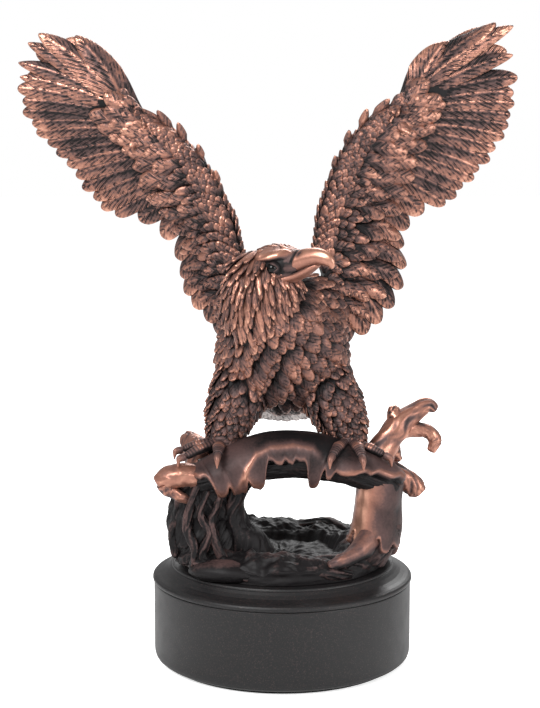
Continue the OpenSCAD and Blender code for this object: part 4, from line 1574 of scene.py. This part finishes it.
@dataclass
class Driftwood:
    """The looped perch: a rooted foot, a trunk of twisted roots, a right limb, a crown and four stubs.

    Attributes:
        crown_z: height of the middle of the crown limb's highest section.
        crown_ry: half the crown limb's depth.
        crown_rz: half the crown limb's height.
        leant: the direction that an upright's sections lean to.
        drips: the bark's drips along the crown's front, each with its x, its length and its half-width.
        lobes: the right limb's hem, each lobe with its angle, its share of the length and its half-width.
    """

    crown_z: float = 99.5
    crown_ry: float = 14.5
    crown_rz: float = 11.5
    leant: Point = (0, -1, 0)
    drips: tuple[tuple[float, float, float], ...] = (
        (-31.4, 8.5, 2.8), (-24.3, 8.5, 3.6), (-15.0, 4.4, 4.4), (-3.5, 1.4, 2.2), (2.6, 1.2, 2.0),
        (16.4, 8.0, 3.4), (24.0, 3.4, 1.8), (31.0, 1.0, 3.6), (45.0, 1.4, 4.0),
    )
    lobes: tuple[tuple[float, float, float], ...] = (
        (0.15, 0.16, 0.22), (0.75, 0.10, 0.20), (1.3, 0.17, 0.22), (2.0, 0.12, 0.26), (3.4, 0.15, 0.3),
        (4.6, 0.14, 0.3),
    )

    def crown(self) -> list[Sheets]:
        """The limb that the eagle stands on: glossy bark above, black grooves below, and heavy drips.

        On the front the bark ends at a height drawn through chosen points, less each drip: its length times e
        to the minus fourth power of the distance from it over its half-width. The bark stands off the core by
        its thickness, and more at the drips and along a crease, where it is also lightened as a painted
        highlight. On the back it ends unevenly.

        Returns:
            The limb.
        """
        plan = [
            (-41, -27.5, 10.5, 0.55, 0.5), (-30, -25, 7, 0.85, 0.75), (-18, -22, 3, 0.95, 0.9),
            (-6, -20, 0.5, 1, 1), (6, -19, 0, 1, 1), (19, -20, 1.5, 1, 0.96), (31, -22, 4.5, 0.96, 0.86),
            (42, -22, 9, 0.88, 0.8), (50, -20, 16, 0.72, 0.7),
        ]
        middle, wide, high = self.crown_z - 0.4, self.crown_ry * 0.94, self.crown_rz * 0.93
        knots = [[x, y, middle - drop, wide * w, high * h] for x, y, drop, w, h in plan]
        limb = Limb(knots, rows=360, cols=200, round_ends=(0.05, 0.05))
        t, a = limb.grid()
        row = curve(knots, t[:, 0])
        x, height = row[:, :1] + 0 * a, row[:, 2:3] + row[:, 4:5] * np.sin(a)
        hem_x = [-46, -36, -20, -12, -8, 11, 14, 20, 26, 46, 54]
        foot = np.interp(x, hem_x, [93, 92, 92, 92, 99.5, 99.2, 96, 95.5, 95, 93, 86])
        front = foot + 0.6 * noise(spots(x * 0.5), 3.0)
        for at, deep, half in self.drips:
            front = front - deep * np.exp(-(((x - at) / half) ** 4))
        rear = 93.0 + 3.5 * rough(spots(x * 0.16), 8.0)
        facing = smoothstep(-0.25, 0.25, np.cos(a))
        over = height - (front * facing + rear * (1 - facing))
        bark = smoothstep(-0.25, 0.35, over)
        lip = bump(over, 1.2, 1.2)
        # Along the crease the bark is raised into a ridge and lightened: a real ridge with a painted
        # highlight on it.
        crease = np.interp(x, [-25, -19, -13, -6, 4, 14, 22], [89, 96, 102, 104.6, 105.4, 104, 98])
        shine = bump(height, crease, 1.6) * facing * smoothstep(-26, -21, x) * smoothstep(22, 12, x)
        drip = np.clip((foot + 1.0 - front) / 6, 0, 1) * facing * bump(over, 2.8, 4.0)
        dents = rough(around(a, 1.5, t * 8), 6.0, 2)
        cracks = 1 - np.abs(rough(around(a, 5, t * 7), 7.0)) * 2.0
        proud = 0.9 + 0.45 * dents + 1.9 * drip + 0.9 * shine
        swell = bark * proud + 0.9 * lip + (1 - bark) * (0.9 * cracks - 1.6)
        ends = smoothstep(-8, -22, x) + 0.8 * smoothstep(22, 34, x)
        shown = 0.10 + 0.12 * dents + 0.26 * lip + 0.20 * drip + 0.16 * ends + 0.36 * shine
        relief = bark * shown + (1 - bark) * 0.12 * np.clip(cracks, 0, 1)
        return [limb.surface(swell, np.clip(relief, 0, 1))]

    def right(self) -> list[Sheets]:
        """The right limb in smooth bark, its tongue over the foot, and the dark knob behind.

        The bark's hem lies at a share of the limb's length, let down round the limb at each notch's angle by
        its depth times e to the minus fourth power of the angle from it over its width.

        Returns:
            The limb, the tongue and the knob.
        """
        stem = Limb(
            [[45, -20, 90, 9, 11], [44, -20, 84, 9.6, 11.6], [43.5, -19, 76, 10, 11],
             [43, -18, 66, 10.4, 11.6], [40.5, -18, 57, 10.6, 12], [38, -18, 50, 9, 11]],
            rows=190, cols=150, up=self.leant,
        )
        t, a = stem.grid()
        edge = 0.70 + 0.05 * noise(around(a, 2, 0 * t), 3.0)
        for at, deep, wide in self.lobes:
            edge = edge + deep * np.exp(-(((a - at) / wide) ** 4))
        bark = smoothstep(-0.015, 0.02, edge - t)
        lip = bump(edge - t, 0.025, 0.025)
        dents = rough(around(a, 1.6, t * 5), 8.0, 2)
        cracks = 1 - np.abs(rough(around(a + 2 * t, 4, t * 4), 4.0)) * 2.1
        swell = bark * (0.9 + 0.7 * dents) + 0.5 * lip + (1 - bark) * (0.9 * cracks - 1.4)
        lit = 0.50 * bump(a, 0.75, 0.55) - 0.1 * smoothstep(1.4, 2.4, a)
        shown = 0.31 + 0.16 * dents + 0.24 * lip + lit
        relief = bark * shown + (1 - bark) * (0.02 + 0.24 * np.clip(cracks, 0, 1))
        tongue = Limb([[43, -17, 72, 5, 5], [41, -22, 65, 5.6, 6.6], [37, -29, 60, 5.0, 5.6],
                       [31, -35.4, 57, 3.9, 4.0], [25, -39, 55, 3.0, 2.8], [20, -41, 53.6, 1.8, 1.8]],
                      rows=110, cols=60)
        u, b = tongue.grid()
        ripple = rough(spots(u * 9, np.cos(b) * 1.4, np.sin(b) * 1.4), 12.0, 2)
        # The tongue's underside is darkened as painted shade.
        under = smoothstep(0.1, -0.5, np.sin(b))
        knob = Limb([[47, -22, 70, 3, 3], [49.4, -22, 67, 3.8, 4], [49.0, -20, 62.5, 4.2, 4.6],
                     [46, -14, 58, 6, 6.5], [46, 0, 55, 7, 7], [41, 5, 51.5, 6, 6.4]], rows=110, cols=60)
        return [
            stem.surface(swell, np.clip(relief, 0, 1)),
            tongue.surface(0.6 * ripple, np.clip(0.40 + 0.2 * ripple - 0.38 * under, 0, 1)),
            Wood(knob, 8, 1.0, 0.2, 1.0, 0.06, 5.0).surface(),
        ]

    def trunk(self) -> list[Sheets]:
        """The left trunk: a core of twisted roots, a stem on either side and five slim roots over them.

        Returns:
            The core, the stems and the roots.
        """
        core = Limb([[-32, -17, 50, 16, 13], [-33, -17, 58, 15.5, 12.5], [-35, -18, 67, 14.5, 11],
                     [-35, -20, 77, 13, 10], [-33, -22, 87, 11.5, 9.6], [-30, -24, 94, 9, 8]],
                    rows=190, cols=150, up=self.leant)
        stems = [
            Limb([[-44, -10, 50, 6.5, 7.5], [-43, -12, 58, 6.6, 7.6], [-47, -14, 67, 6, 6.6],
                  [-45.5, -18, 78, 5, 6.4], [-43, -23, 87, 5, 6], [-38, -26, 93, 4, 5]],
                 rows=120, cols=60, up=self.leant),
            Limb([[-12, -20, 51, 9, 9], [-15, -20, 58, 8.6, 9], [-20.5, -19, 66, 6, 8.4],
                  [-22.5, -20, 78, 4.8, 7.6], [-18, -21, 90, 5.4, 8]], rows=120, cols=70, up=self.leant),
        ]
        roots = [
            [[-40, -30, 49, 3.4, 3.4], [-39, -31, 58, 3.2, 3.2], [-43, -29, 68, 2.8, 2.8],
             [-41, -29.5, 79, 2.4, 2.4], [-37, -31, 90, 2.2, 2.2]],
            [[-25, -31, 51, 3.8, 3.6], [-29, -31, 60, 3.2, 3.2], [-32, -30, 70, 2.8, 2.8],
             [-29, -30, 80, 2.4, 2.6], [-27, -31, 89, 2.0, 2.2]],
            [[-33, -32, 50, 3.2, 3.2], [-36, -32, 57, 2.8, 2.8], [-33, -31.5, 66, 2.5, 2.6],
             [-37, -31, 75, 2.2, 2.4], [-33, -32, 86, 1.9, 2]],
            [[-48, -20, 52, 3, 3], [-50, -20, 62, 2.8, 3], [-48, -22, 74, 2.4, 2.6], [-47, -26, 86, 2, 2.2]],
            [[-30, -5, 50, 4, 4], [-34, -6, 62, 3.6, 3.6], [-31, -8, 75, 3, 3], [-34, -11, 88, 2.6, 2.6]],
        ]
        made = [Wood(core, 10, 1.6, 0.35, 0.9, 0.16, 1.0).surface()]
        made += [Wood(s, 8, 1.1, 0.5, 0.7, 0.20, 2.0 + i).surface() for i, s in enumerate(stems)]
        for i, r in enumerate(roots):
            slim = [[*k[:3], k[3] * 0.72, k[4] * 0.72] for k in r]
            limb = Limb(slim, rows=110, cols=30, up=self.leant)
            made.append(Wood(limb, 4, 0.5, 0.6, 0.6, 0.34, 6.0 + i).surface())
        return made

    def foot(self) -> list[Sheets]:
        """The foot: a lumpy ring with a low floor, drawn from the middle out, with roots and a stone on it.

        The ring's top is half an ellipse across its width, with grain drawn along the radius and lumps added.

        Returns:
            The ring, five roots and the stone.
        """
        rim_radius, floor = 47.2, 46.0
        inner, ring = np.linspace(0.5, 27, 26), np.linspace(27.6, rim_radius, 60)
        r = np.concatenate([inner, ring, np.full(14, rim_radius), np.linspace(46, 0.5, 8)])
        drop = np.concatenate([np.zeros(len(inner) + len(ring)), np.linspace(0, 1, 14), np.ones(8)])
        a = np.arange(300) / 300 * 2 * np.pi
        rr, aa = np.meshgrid(r, a, indexing="ij")
        dd = np.broadcast_to(drop[:, None], rr.shape)
        x, y = rr * np.cos(aa), rr * np.sin(aa)
        grain = 1 - np.abs(rough(around(aa, 3.4, rr * 0.16), 2.0)) * 2.0
        lump = rough(spots(x, y) * 0.11, 7.0)
        rim = 8.0 * np.sqrt(np.clip(1 - ((rr - 36.5) / 11.5) ** 2, 0, 1))
        crest = 1.0 + 0.18 * np.sin(aa * 3 + 1)
        bumps = (1.7 * grain + 2.0 * lump) * (0.45 + 0.55 * smoothstep(22, 31, rr))
        top = 48.6 + rim * 0.82 * crest + bumps + 0.8 * lump
        top = np.maximum(top + 0.7 * rough(spots(x, y) * 0.5, 9.0), 46.6)
        z = top * (1 - dd) + floor * dd
        wob = 0.9 * rough(around(aa, 4, z * 0.3), 4.0) * smoothstep(30, 46, rr)
        scale = 1 + wob / rim_radius
        points = np.stack([x * scale, y * scale, z], axis=-1)
        relief = np.clip(0.06 + 0.26 * grain * smoothstep(22, 30, rr) + 0.16 * lump, 0, 1) * (1 - 0.4 * dd)
        points = points[:, ::-1]
        relief = relief[:, ::-1]
        made = [Sheets(points[None] * MM, relief[None], np.stack([x, y], -1)[:, ::-1][None])]
        strands = [
            [[-44, -17, 50, 3.4, 3], [-38, -28, 52.5, 4, 3.6], [-28, -37, 51.5, 3.8, 3.2],
             [-14, -43, 49, 2.8, 2.4]],
            [[-17, -31, 54, 4, 4], [-5, -38, 53, 4.2, 3.6], [9, -41, 51.5, 3.8, 3.2], [22, -40, 50, 3, 2.6],
             [31, -35, 48.5, 2, 2]],
            [[8, -33, 51, 3.4, 3.4], [19, -34, 53, 4, 3.6], [30, -31, 53, 4, 3.6], [39, -24, 50.5, 3.2, 3]],
            [[-43, 8, 50, 4, 3.6], [-36, 22, 53, 4.4, 4], [-24, 34, 51.5, 3.6, 3.2], [-8, 41, 49, 2.8, 2.6]],
            [[4, 38, 50, 3.6, 3.2], [20, 36, 53, 4.4, 3.8], [34, 24, 52, 4, 3.6], [42, 8, 50, 3.4, 3]],
        ]
        for i, k in enumerate(strands):
            made.append(Wood(Limb(k, rows=80, cols=36), 6, 0.9, 0.4, 1.0, 0.30, 11.0 + i).surface())
        stone = Limb([[-42, -32, 49.4, 1.2, 0.8], [-36, -35, 50, 6, 4], [-25, -37.5, 50.4, 8, 5],
                      [-14, -38.5, 49.6, 6, 3.6], [-7, -38.5, 49, 1.2, 0.8]],
                     rows=70, cols=50, round_ends=(0.03, 0.03))
        t, a = stone.grid()
        dents = rough(spots(t * 5, np.cos(a) * 1.6, np.sin(a) * 1.6), 3.0)
        # The stone's top, about its middle, is lightened as a painted sheen.
        shown = 0.22 + 0.2 * dents + 0.30 * bump(np.sin(a), 1.0, 0.6) * bump(t, 0.5, 0.3)
        made.append(stone.surface(0.4 * dents, np.clip(shown, 0, 1)))
        return made

    def stubs(self) -> dict[str, list[Sheets]]:
        """The burl of rolled bark, the forked antler branch and the two broken stubs.

        The burl's roll is a lip and a gap that wind round it, as bells on the sine of angle less place.

        Returns:
            Each CAD node's tubes by its name.
        """
        roll = Limb([[-38, -27.5, 91, 5.6, 5.4], [-43, -28.5, 92.3, 6.4, 5.4], [-48, -29, 92, 6.6, 5.4],
                     [-53, -29, 90.6, 5.4, 4.8], [-56.5, -29, 88.5, 3.0, 3.0]], rows=110, cols=72)
        t, a = roll.grid()
        curl = np.sin(a - 1.2 * t - 3.6)
        lip = bump(curl, 0.86, 0.10)
        gap = bump(curl, 0.62, 0.13)
        dents = rough(spots(t * 6, np.cos(a) * 2, np.sin(a) * 2), 4.0)
        relief = np.clip(0.62 + 0.2 * dents + 0.2 * lip - 0.55 * gap, 0, 1)
        drip = Limb([[-53, -29.5, 89, 4.4, 4], [-51, -29, 85.5, 4, 3.2], [-46, -28, 82.5, 3.2, 2.6],
                     [-41, -26, 80, 2, 1.6]], rows=60, cols=36)
        burl = [
            roll.surface(0.8 * lip - 1.4 * gap + 0.35 * dents, relief),
            Wood(drip, 5, 0.5, 0.2, 0.4, 0.48, 6.0).surface(),
        ]
        raked = (0, -1, 0.2)
        antler = [
            Limb([[42, -13, 92, 7, 6], [44, -11, 97, 7.4, 6.4], [49, -8, 105, 6, 6],
                  [54, -6, 110.5, 6.2, 6.2], [61, -4, 116.4, 4.4, 4.4], [67, -3.5, 119.6, 3.6, 3.6],
                  [71.2, -3.5, 117.4, 1.9, 1.9]], rows=120, cols=48, up=raked),
            Limb([[54, -6, 109, 5.5, 5.5], [52.5, -5.4, 113, 4.4, 4.4], [51.2, -5, 117.4, 3.2, 3.2],
                  [50.6, -5, 119.8, 1.6, 1.6]], rows=50, cols=32, up=raked),
            Limb([[53, -6, 109.5, 5.4, 5], [61, -5.5, 109, 4, 3.8], [67, -6, 107.8, 3.6, 3.4],
                  [70.3, -7, 103.5, 3.1, 3], [68.2, -8, 98.6, 1.8, 1.8]], rows=90, cols=40),
            Limb([[49, -8, 102, 5, 5], [51.5, -7.5, 98, 3.6, 3.6], [54.4, -7, 94.4, 1.2, 1.2]],
                 rows=50, cols=30, up=raked),
        ]
        forked = [Wood(b, 5, 0.30, 0.3, 0.5, 0.58, 20.0 + i).surface() for i, b in enumerate(antler)]
        right = Limb([[46, -12, 91.5, 6, 6], [51, -10.5, 89, 5.6, 5.4], [57, -9, 85.5, 5, 5],
                      [61.5, -8.5, 81.8, 4.8, 4.8], [63.6, -8.3, 79.6, 3.4, 3.6]],
                     rows=80, cols=50, up=raked)
        rear = Limb([[-37, -18, 88, 7, 6], [-37, -13, 94, 7, 6.6], [-39, -6, 98.6, 6.6, 6],
                     [-42, 0, 101, 5.4, 5], [-44, 5, 102.5, 4, 4]], rows=90, cols=56)
        return {
            "burl": burl,
            "antler_branch": forked,
            "stub_branch": [Wood(right, 6, 0.5, 0.3, 0.5, 0.5, 30.0).surface()],
            "rear_stub": [Wood(rear, 7, 0.7, 0.3, 0.7, 0.42, 31.0).surface()],
        }

    def build(self, finishes: Finishes) -> None:
        """Make the driftwood's pieces and dress them.

        Args:
            finishes: the finishes.
        """
        castings = {
            "driftwood_foot": (self.foot(), Slot.DARK_BRONZE, "bronze_root"),
            "left_trunk": (self.trunk(), Slot.DARK_BRONZE, "bronze_root"),
            "right_limb": (self.right(), Slot.BRONZE, "bronze_bark"),
            "crown_limb": (self.crown(), Slot.BRONZE, "bronze_bark"),
        }
        for node, sheets in self.stubs().items():
            castings[node] = (sheets, Slot.BRONZE, "bronze_bark")
        for node, (sheets, slot, finish) in castings.items():
            finishes.cast(node + "_cast", sheets, node, finish, slot)
            LOG.info("%s", node)


# ---------------------------------------------------------------- plinth and stage


@dataclass
class Plinth:
    """The turned plinth: a straight drum, a lip and an S-curved cove up to the seat.

    Attributes:
        edge: the outline from the underside to the drum, as how far in from the radius and how high.
        cove: the outline from the drum to the seat, as how far in and how far under the top.
        rows: points along the outline.
        cols: points round.
    """

    edge: tuple[tuple[float, float], ...] = (
        (8.0, 2.0), (7.4, 0.2), (6.8, 0.0), (3.6, 0.0), (2.2, 0.4), (1.2, 1.3), (0.75, 2.6), (0.6, 4.2),
        (0.6, 14.0), (0.6, 26.0),
    )
    cove: tuple[tuple[float, float], ...] = (
        (0.6, 8.6), (0.7, 8.25), (1.0, 8.1), (0.7, 7.95), (0.15, 7.6), (0.0, 7.0), (0.1, 6.3), (0.6, 5.7),
        (1.7, 5.1), (3.4, 4.5), (5.4, 3.6), (7.2, 2.3), (8.4, 1.2), (8.9, 0.9), (9.0, 0.5), (9.3, 0.12),
        (10.0, 0.0), (24.0, 0.0),
    )
    rows: int = 400
    cols: int = 192

    def build(self, finishes: Finishes) -> None:
        """Make the plinth by carrying its outline round the middle, and dress it.

        Args:
            finishes: the finishes.
        """
        low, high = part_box("plinth")
        radius, top, base = float(high[0]) / MM, float(high[2]) / MM, float(low[2]) / MM
        outline = [[0.4, base + 2.0], [radius * 0.5, base + 2.0]]
        outline += [[radius - inward, base + up] for inward, up in self.edge]
        outline += [[radius - inward, top - down] for inward, down in self.cove]
        t = np.linspace(0, 1, self.rows)
        profile = polyline([*outline, [0.4, top]], t)
        a = np.arange(self.cols) / self.cols * 2 * np.pi
        out, rise = profile[:, None, 0], profile[:, None, 1]
        points = np.stack(
            [out * np.cos(a), out * np.sin(a), np.broadcast_to(rise, (self.rows, self.cols))], axis=-1
        )
        uv = np.stack(np.meshgrid(t * 200, a * 60, indexing="ij"), axis=-1)
        sheet = Sheets(points[None] * MM, np.full((1, self.rows, self.cols), 0.3), uv[None])
        finishes.cast("plinth_turned", [sheet], "plinth", "plinth_lacquer", Slot.PLINTH)
        LOG.info("plinth")


@dataclass
class Fittings:
    """The CAD's own pieces whose shapes are right: felt, studs, washers, nuts, pins and the eyes.

    Attributes:
        steel: the nodes of bright steel.
    """

    steel: tuple[str, ...] = (
        "mounting_studs", "washers", "nuts", "trunk_dowels", "crown_dowels", "branch_pins", "leg_rods",
        "hip_pins", "wing_pins", "neck_pin", "tail_pin",
    )

    def build(self, finishes: Finishes) -> None:
        """Dress the CAD pieces.

        Args:
            finishes: the finishes.
        """
        for name in self.steel:
            finishes.dress(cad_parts[name], "bright_steel")
        finishes.dress(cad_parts["felt_disc"], "felt_nap")
        finishes.dress(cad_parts["eyes"], "eye_gloss")
        LOG.info("fittings")


@dataclass
class Studio:
    """A pale floor, soft lights and a camera level with the bird's breast.

    Attributes:
        lens: the camera's focal length in millimetres.
        place: the camera's place in metres.
        pitch: how far the camera tips up from level, in radians.
        aim: what the lights face, in metres.
        glow: how bright the floor looks by itself.
        sky: strength of the white surroundings as a light.
        lights: each light's name, place, side and power.
    """

    lens: float = 80.5
    place: Point = (-0.0057, -0.724, 0.241)
    aim: Point = (0.0, 0.0, 0.16)
    glow: float = 0.62
    sky: float = 0.45
    lights: tuple[tuple[str, Point, float, float], ...] = (
        ("key", (-0.50, -0.75, 0.80), 0.50, 15.0),
        ("fill", (0.75, -0.60, 0.45), 0.55, 6.0),
        ("rim", (0.20, 0.75, 0.75), 0.6, 9.0),
    )
    pitch: float = math.radians(-7.7)

    def floor(self) -> None:
        """A wide pale floor, faintly mottled, which isn't part of the object."""
        mesh = bpy.data.meshes.new("floor")
        size = 6.0
        corners = [(-size, -size, 0), (size, -size, 0), (size, size, 0), (-size, size, 0)]
        mesh.from_pydata(corners, [], [(0, 1, 2, 3)])
        mesh.uv_layers.new(name="UVMap")
        obj = bpy.data.objects.new("floor", mesh)
        bpy.context.scene.collection.objects.link(obj)
        mat = bpy.data.materials.new("floor_paper")
        mat.use_nodes = True
        wire = Nodes(mat.node_tree)
        shader = mat.node_tree.nodes["Principled BSDF"]
        place = wire.add("ShaderNodeTexCoord").outputs["Object"]
        cloud = wire.noise(place, 3.0, 2.0)
        colour = wire.ramp(cloud, [(0.3, (0.93, 0.93, 0.93)), (0.7, (0.96, 0.96, 0.96))])
        wire.tree.links.new(colour, shader.inputs["Base Color"])
        shader.inputs["Roughness"].default_value = 0.9
        shader.inputs["Specular IOR Level"].default_value = 0.0
        shader.inputs["Emission Color"].default_value = (1.0, 1.0, 1.0, 1.0)
        seen = wire.add("ShaderNodeLightPath").outputs["Is Camera Ray"]
        wire.tree.links.new(wire.math("MULTIPLY", seen, self.glow), shader.inputs["Emission Strength"])
        mesh.materials.append(mat)

    def light(self, name: str, at: Point, size: float, power: float) -> None:
        """A square soft light that faces the statuette's middle.

        Args:
            name: the light's name.
            at: its place in metres.
            size: its side in metres.
            power: its power in watts.
        """
        lamp = bpy.data.lights.new(name, "AREA")
        lamp.shape = "SQUARE"
        lamp.size = size
        lamp.energy = power
        obj = bpy.data.objects.new(name, lamp)
        bpy.context.scene.collection.objects.link(obj)
        obj.location = at
        way = np.array(self.aim) - np.array(at)
        flat = math.hypot(way[0], way[1])
        obj.rotation_euler = (math.atan2(flat, -way[2]), 0.0, math.atan2(-way[0], way[1]))

    def build(self) -> None:
        """Make the floor, world, lights and camera."""
        self.floor()
        world = bpy.data.worlds.new("studio")
        bpy.context.scene.world = world
        world.use_nodes = True
        wire = Nodes(world.node_tree)
        back = world.node_tree.nodes["Background"]
        back.inputs["Color"].default_value = (1.0, 1.0, 1.0, 1.0)
        seen = wire.add("ShaderNodeLightPath").outputs["Is Camera Ray"]
        strength = wire.math("MULTIPLY_ADD", seen, 1.0 - self.sky, self.sky)
        wire.tree.links.new(strength, back.inputs["Strength"])
        for light in self.lights:
            self.light(*light)
        camera = bpy.data.cameras.new("camera")
        camera.lens = self.lens
        camera.sensor_width = 36.0
        camera.sensor_fit = "AUTO"
        obj = bpy.data.objects.new("camera", camera)
        bpy.context.scene.collection.objects.link(obj)
        obj.location = self.place
        obj.rotation_euler = (math.pi / 2 + self.pitch, 0.0, 0.0)
        bpy.context.scene.camera = obj
        bpy.context.scene.view_settings.view_transform = "Standard"
        LOG.info("studio")


LEFT = Wing(
    "wing_left", (-18, 2, 166),
    [[-4, 2, 0, 8, 7], [-5, 3, 17, 7.5, 5.5], [-10, 4, 35, 7.5, 5], [-18, 5, 52, 7.5, 4.5],
     [-27, 7, 66, 7, 4], [-38, 9, 78, 6.5, 3.5], [-48, 11, 87, 6, 3]],
    [0.98, 1, 0.97, 0.92, 0.86, 0.8, 0.73, 0.65, 0.57, 0.49, 0.41, 0.33, 0.25, 0.16, 0.07],
    [[-77, 18, 122], [-94, 20, 123], [-103, 22, 112], [-105, 24, 99], [-102, 26, 86], [-94, 27, 75],
     [-83, 28, 63], [-74, 28, 50], [-62, 27, 40], [-46, 26, 35], [-34, 24, 22], [-30, 20, 10], [-27, 17, 0],
     [-19, 14, -8], [-12, 12, -16]],
    -1.0, 1.0,
)
RIGHT = Wing(
    "wing_right", (18, 2, 166),
    [[3, 2, 0, 8, 7], [1, 3, 16, 7.5, 5.5], [4, 4, 34, 7.5, 5], [9, 5, 51, 7.5, 4.5], [16, 7, 67, 7, 4],
     [26, 9, 81, 6.5, 3.5], [37, 11, 92, 6, 3]],
    [0.98, 1, 0.98, 0.95, 0.9, 0.84, 0.78, 0.71, 0.64, 0.57, 0.5, 0.42, 0.34, 0.26, 0.18, 0.1],
    [[56, 18, 119], [73, 20, 124], [87, 22, 129], [91, 24, 104], [90, 26, 90], [87, 27, 78], [79, 28, 65],
     [70, 28, 55], [60, 28, 45], [47, 27, 38], [41, 25, 27], [42, 22, 14], [39, 18, 1], [31, 15, -10],
     [22, 13, -17], [10, 11, -22]],
    1.0, 2.0,
)
FEET = (
    Foot("foot_left", (-27.5, -19, 105), [
        [[-29, -21, 105, 3.4], [-37, -27, 104, 3], [-43.5, -31, 101, 2.7], [-47, -34, 98, 1]],
        [[-29, -18, 105.5, 3.2], [-38, -22, 105, 2.8], [-45, -24.5, 103, 2.5], [-49, -27, 100, 1]],
        [[-28, -21, 105, 3.4], [-28.6, -30, 105, 3.2], [-28.8, -37, 103, 2.9], [-29, -41, 98.5, 1]],
        [[-27, -16, 105, 3], [-26, -9, 103, 2.6], [-25.5, -4, 98.5, 1]],
    ]),
    Foot("foot_right", (30.5, -19, 105), [
        [[29, -21, 105.5, 3.4], [25, -29, 105, 3.2], [22, -36, 102.5, 2.9], [20.5, -40, 98, 1]],
        [[31, -21, 105.5, 3.4], [33.5, -30, 105, 3.2], [35, -37, 102, 2.9], [35.6, -41, 97.5, 1]],
        [[32, -19, 105, 3.2], [39.5, -24, 103.5, 2.9], [45.5, -27, 101, 2.6], [49, -29.5, 97, 1]],
        [[31, -16, 105, 3], [32, -9, 103, 2.6], [32.5, -4, 98.5, 1]],
    ]),
)


def main() -> None:
    """Build every sub-assembly in order."""
    logging.basicConfig(level=logging.INFO, format="%(name)s: %(message)s")
    finishes = Finishes()
    Studio().build()
    Plinth().build(finishes)
    Fittings().build(finishes)
    Driftwood().build(finishes)
    Body().build(finishes)
    Head().build(finishes)
    Tail().build(finishes)
    for piece in (LEFT, RIGHT, *FEET):
        piece.build(finishes)


if __name__ == "__main__":
    main()
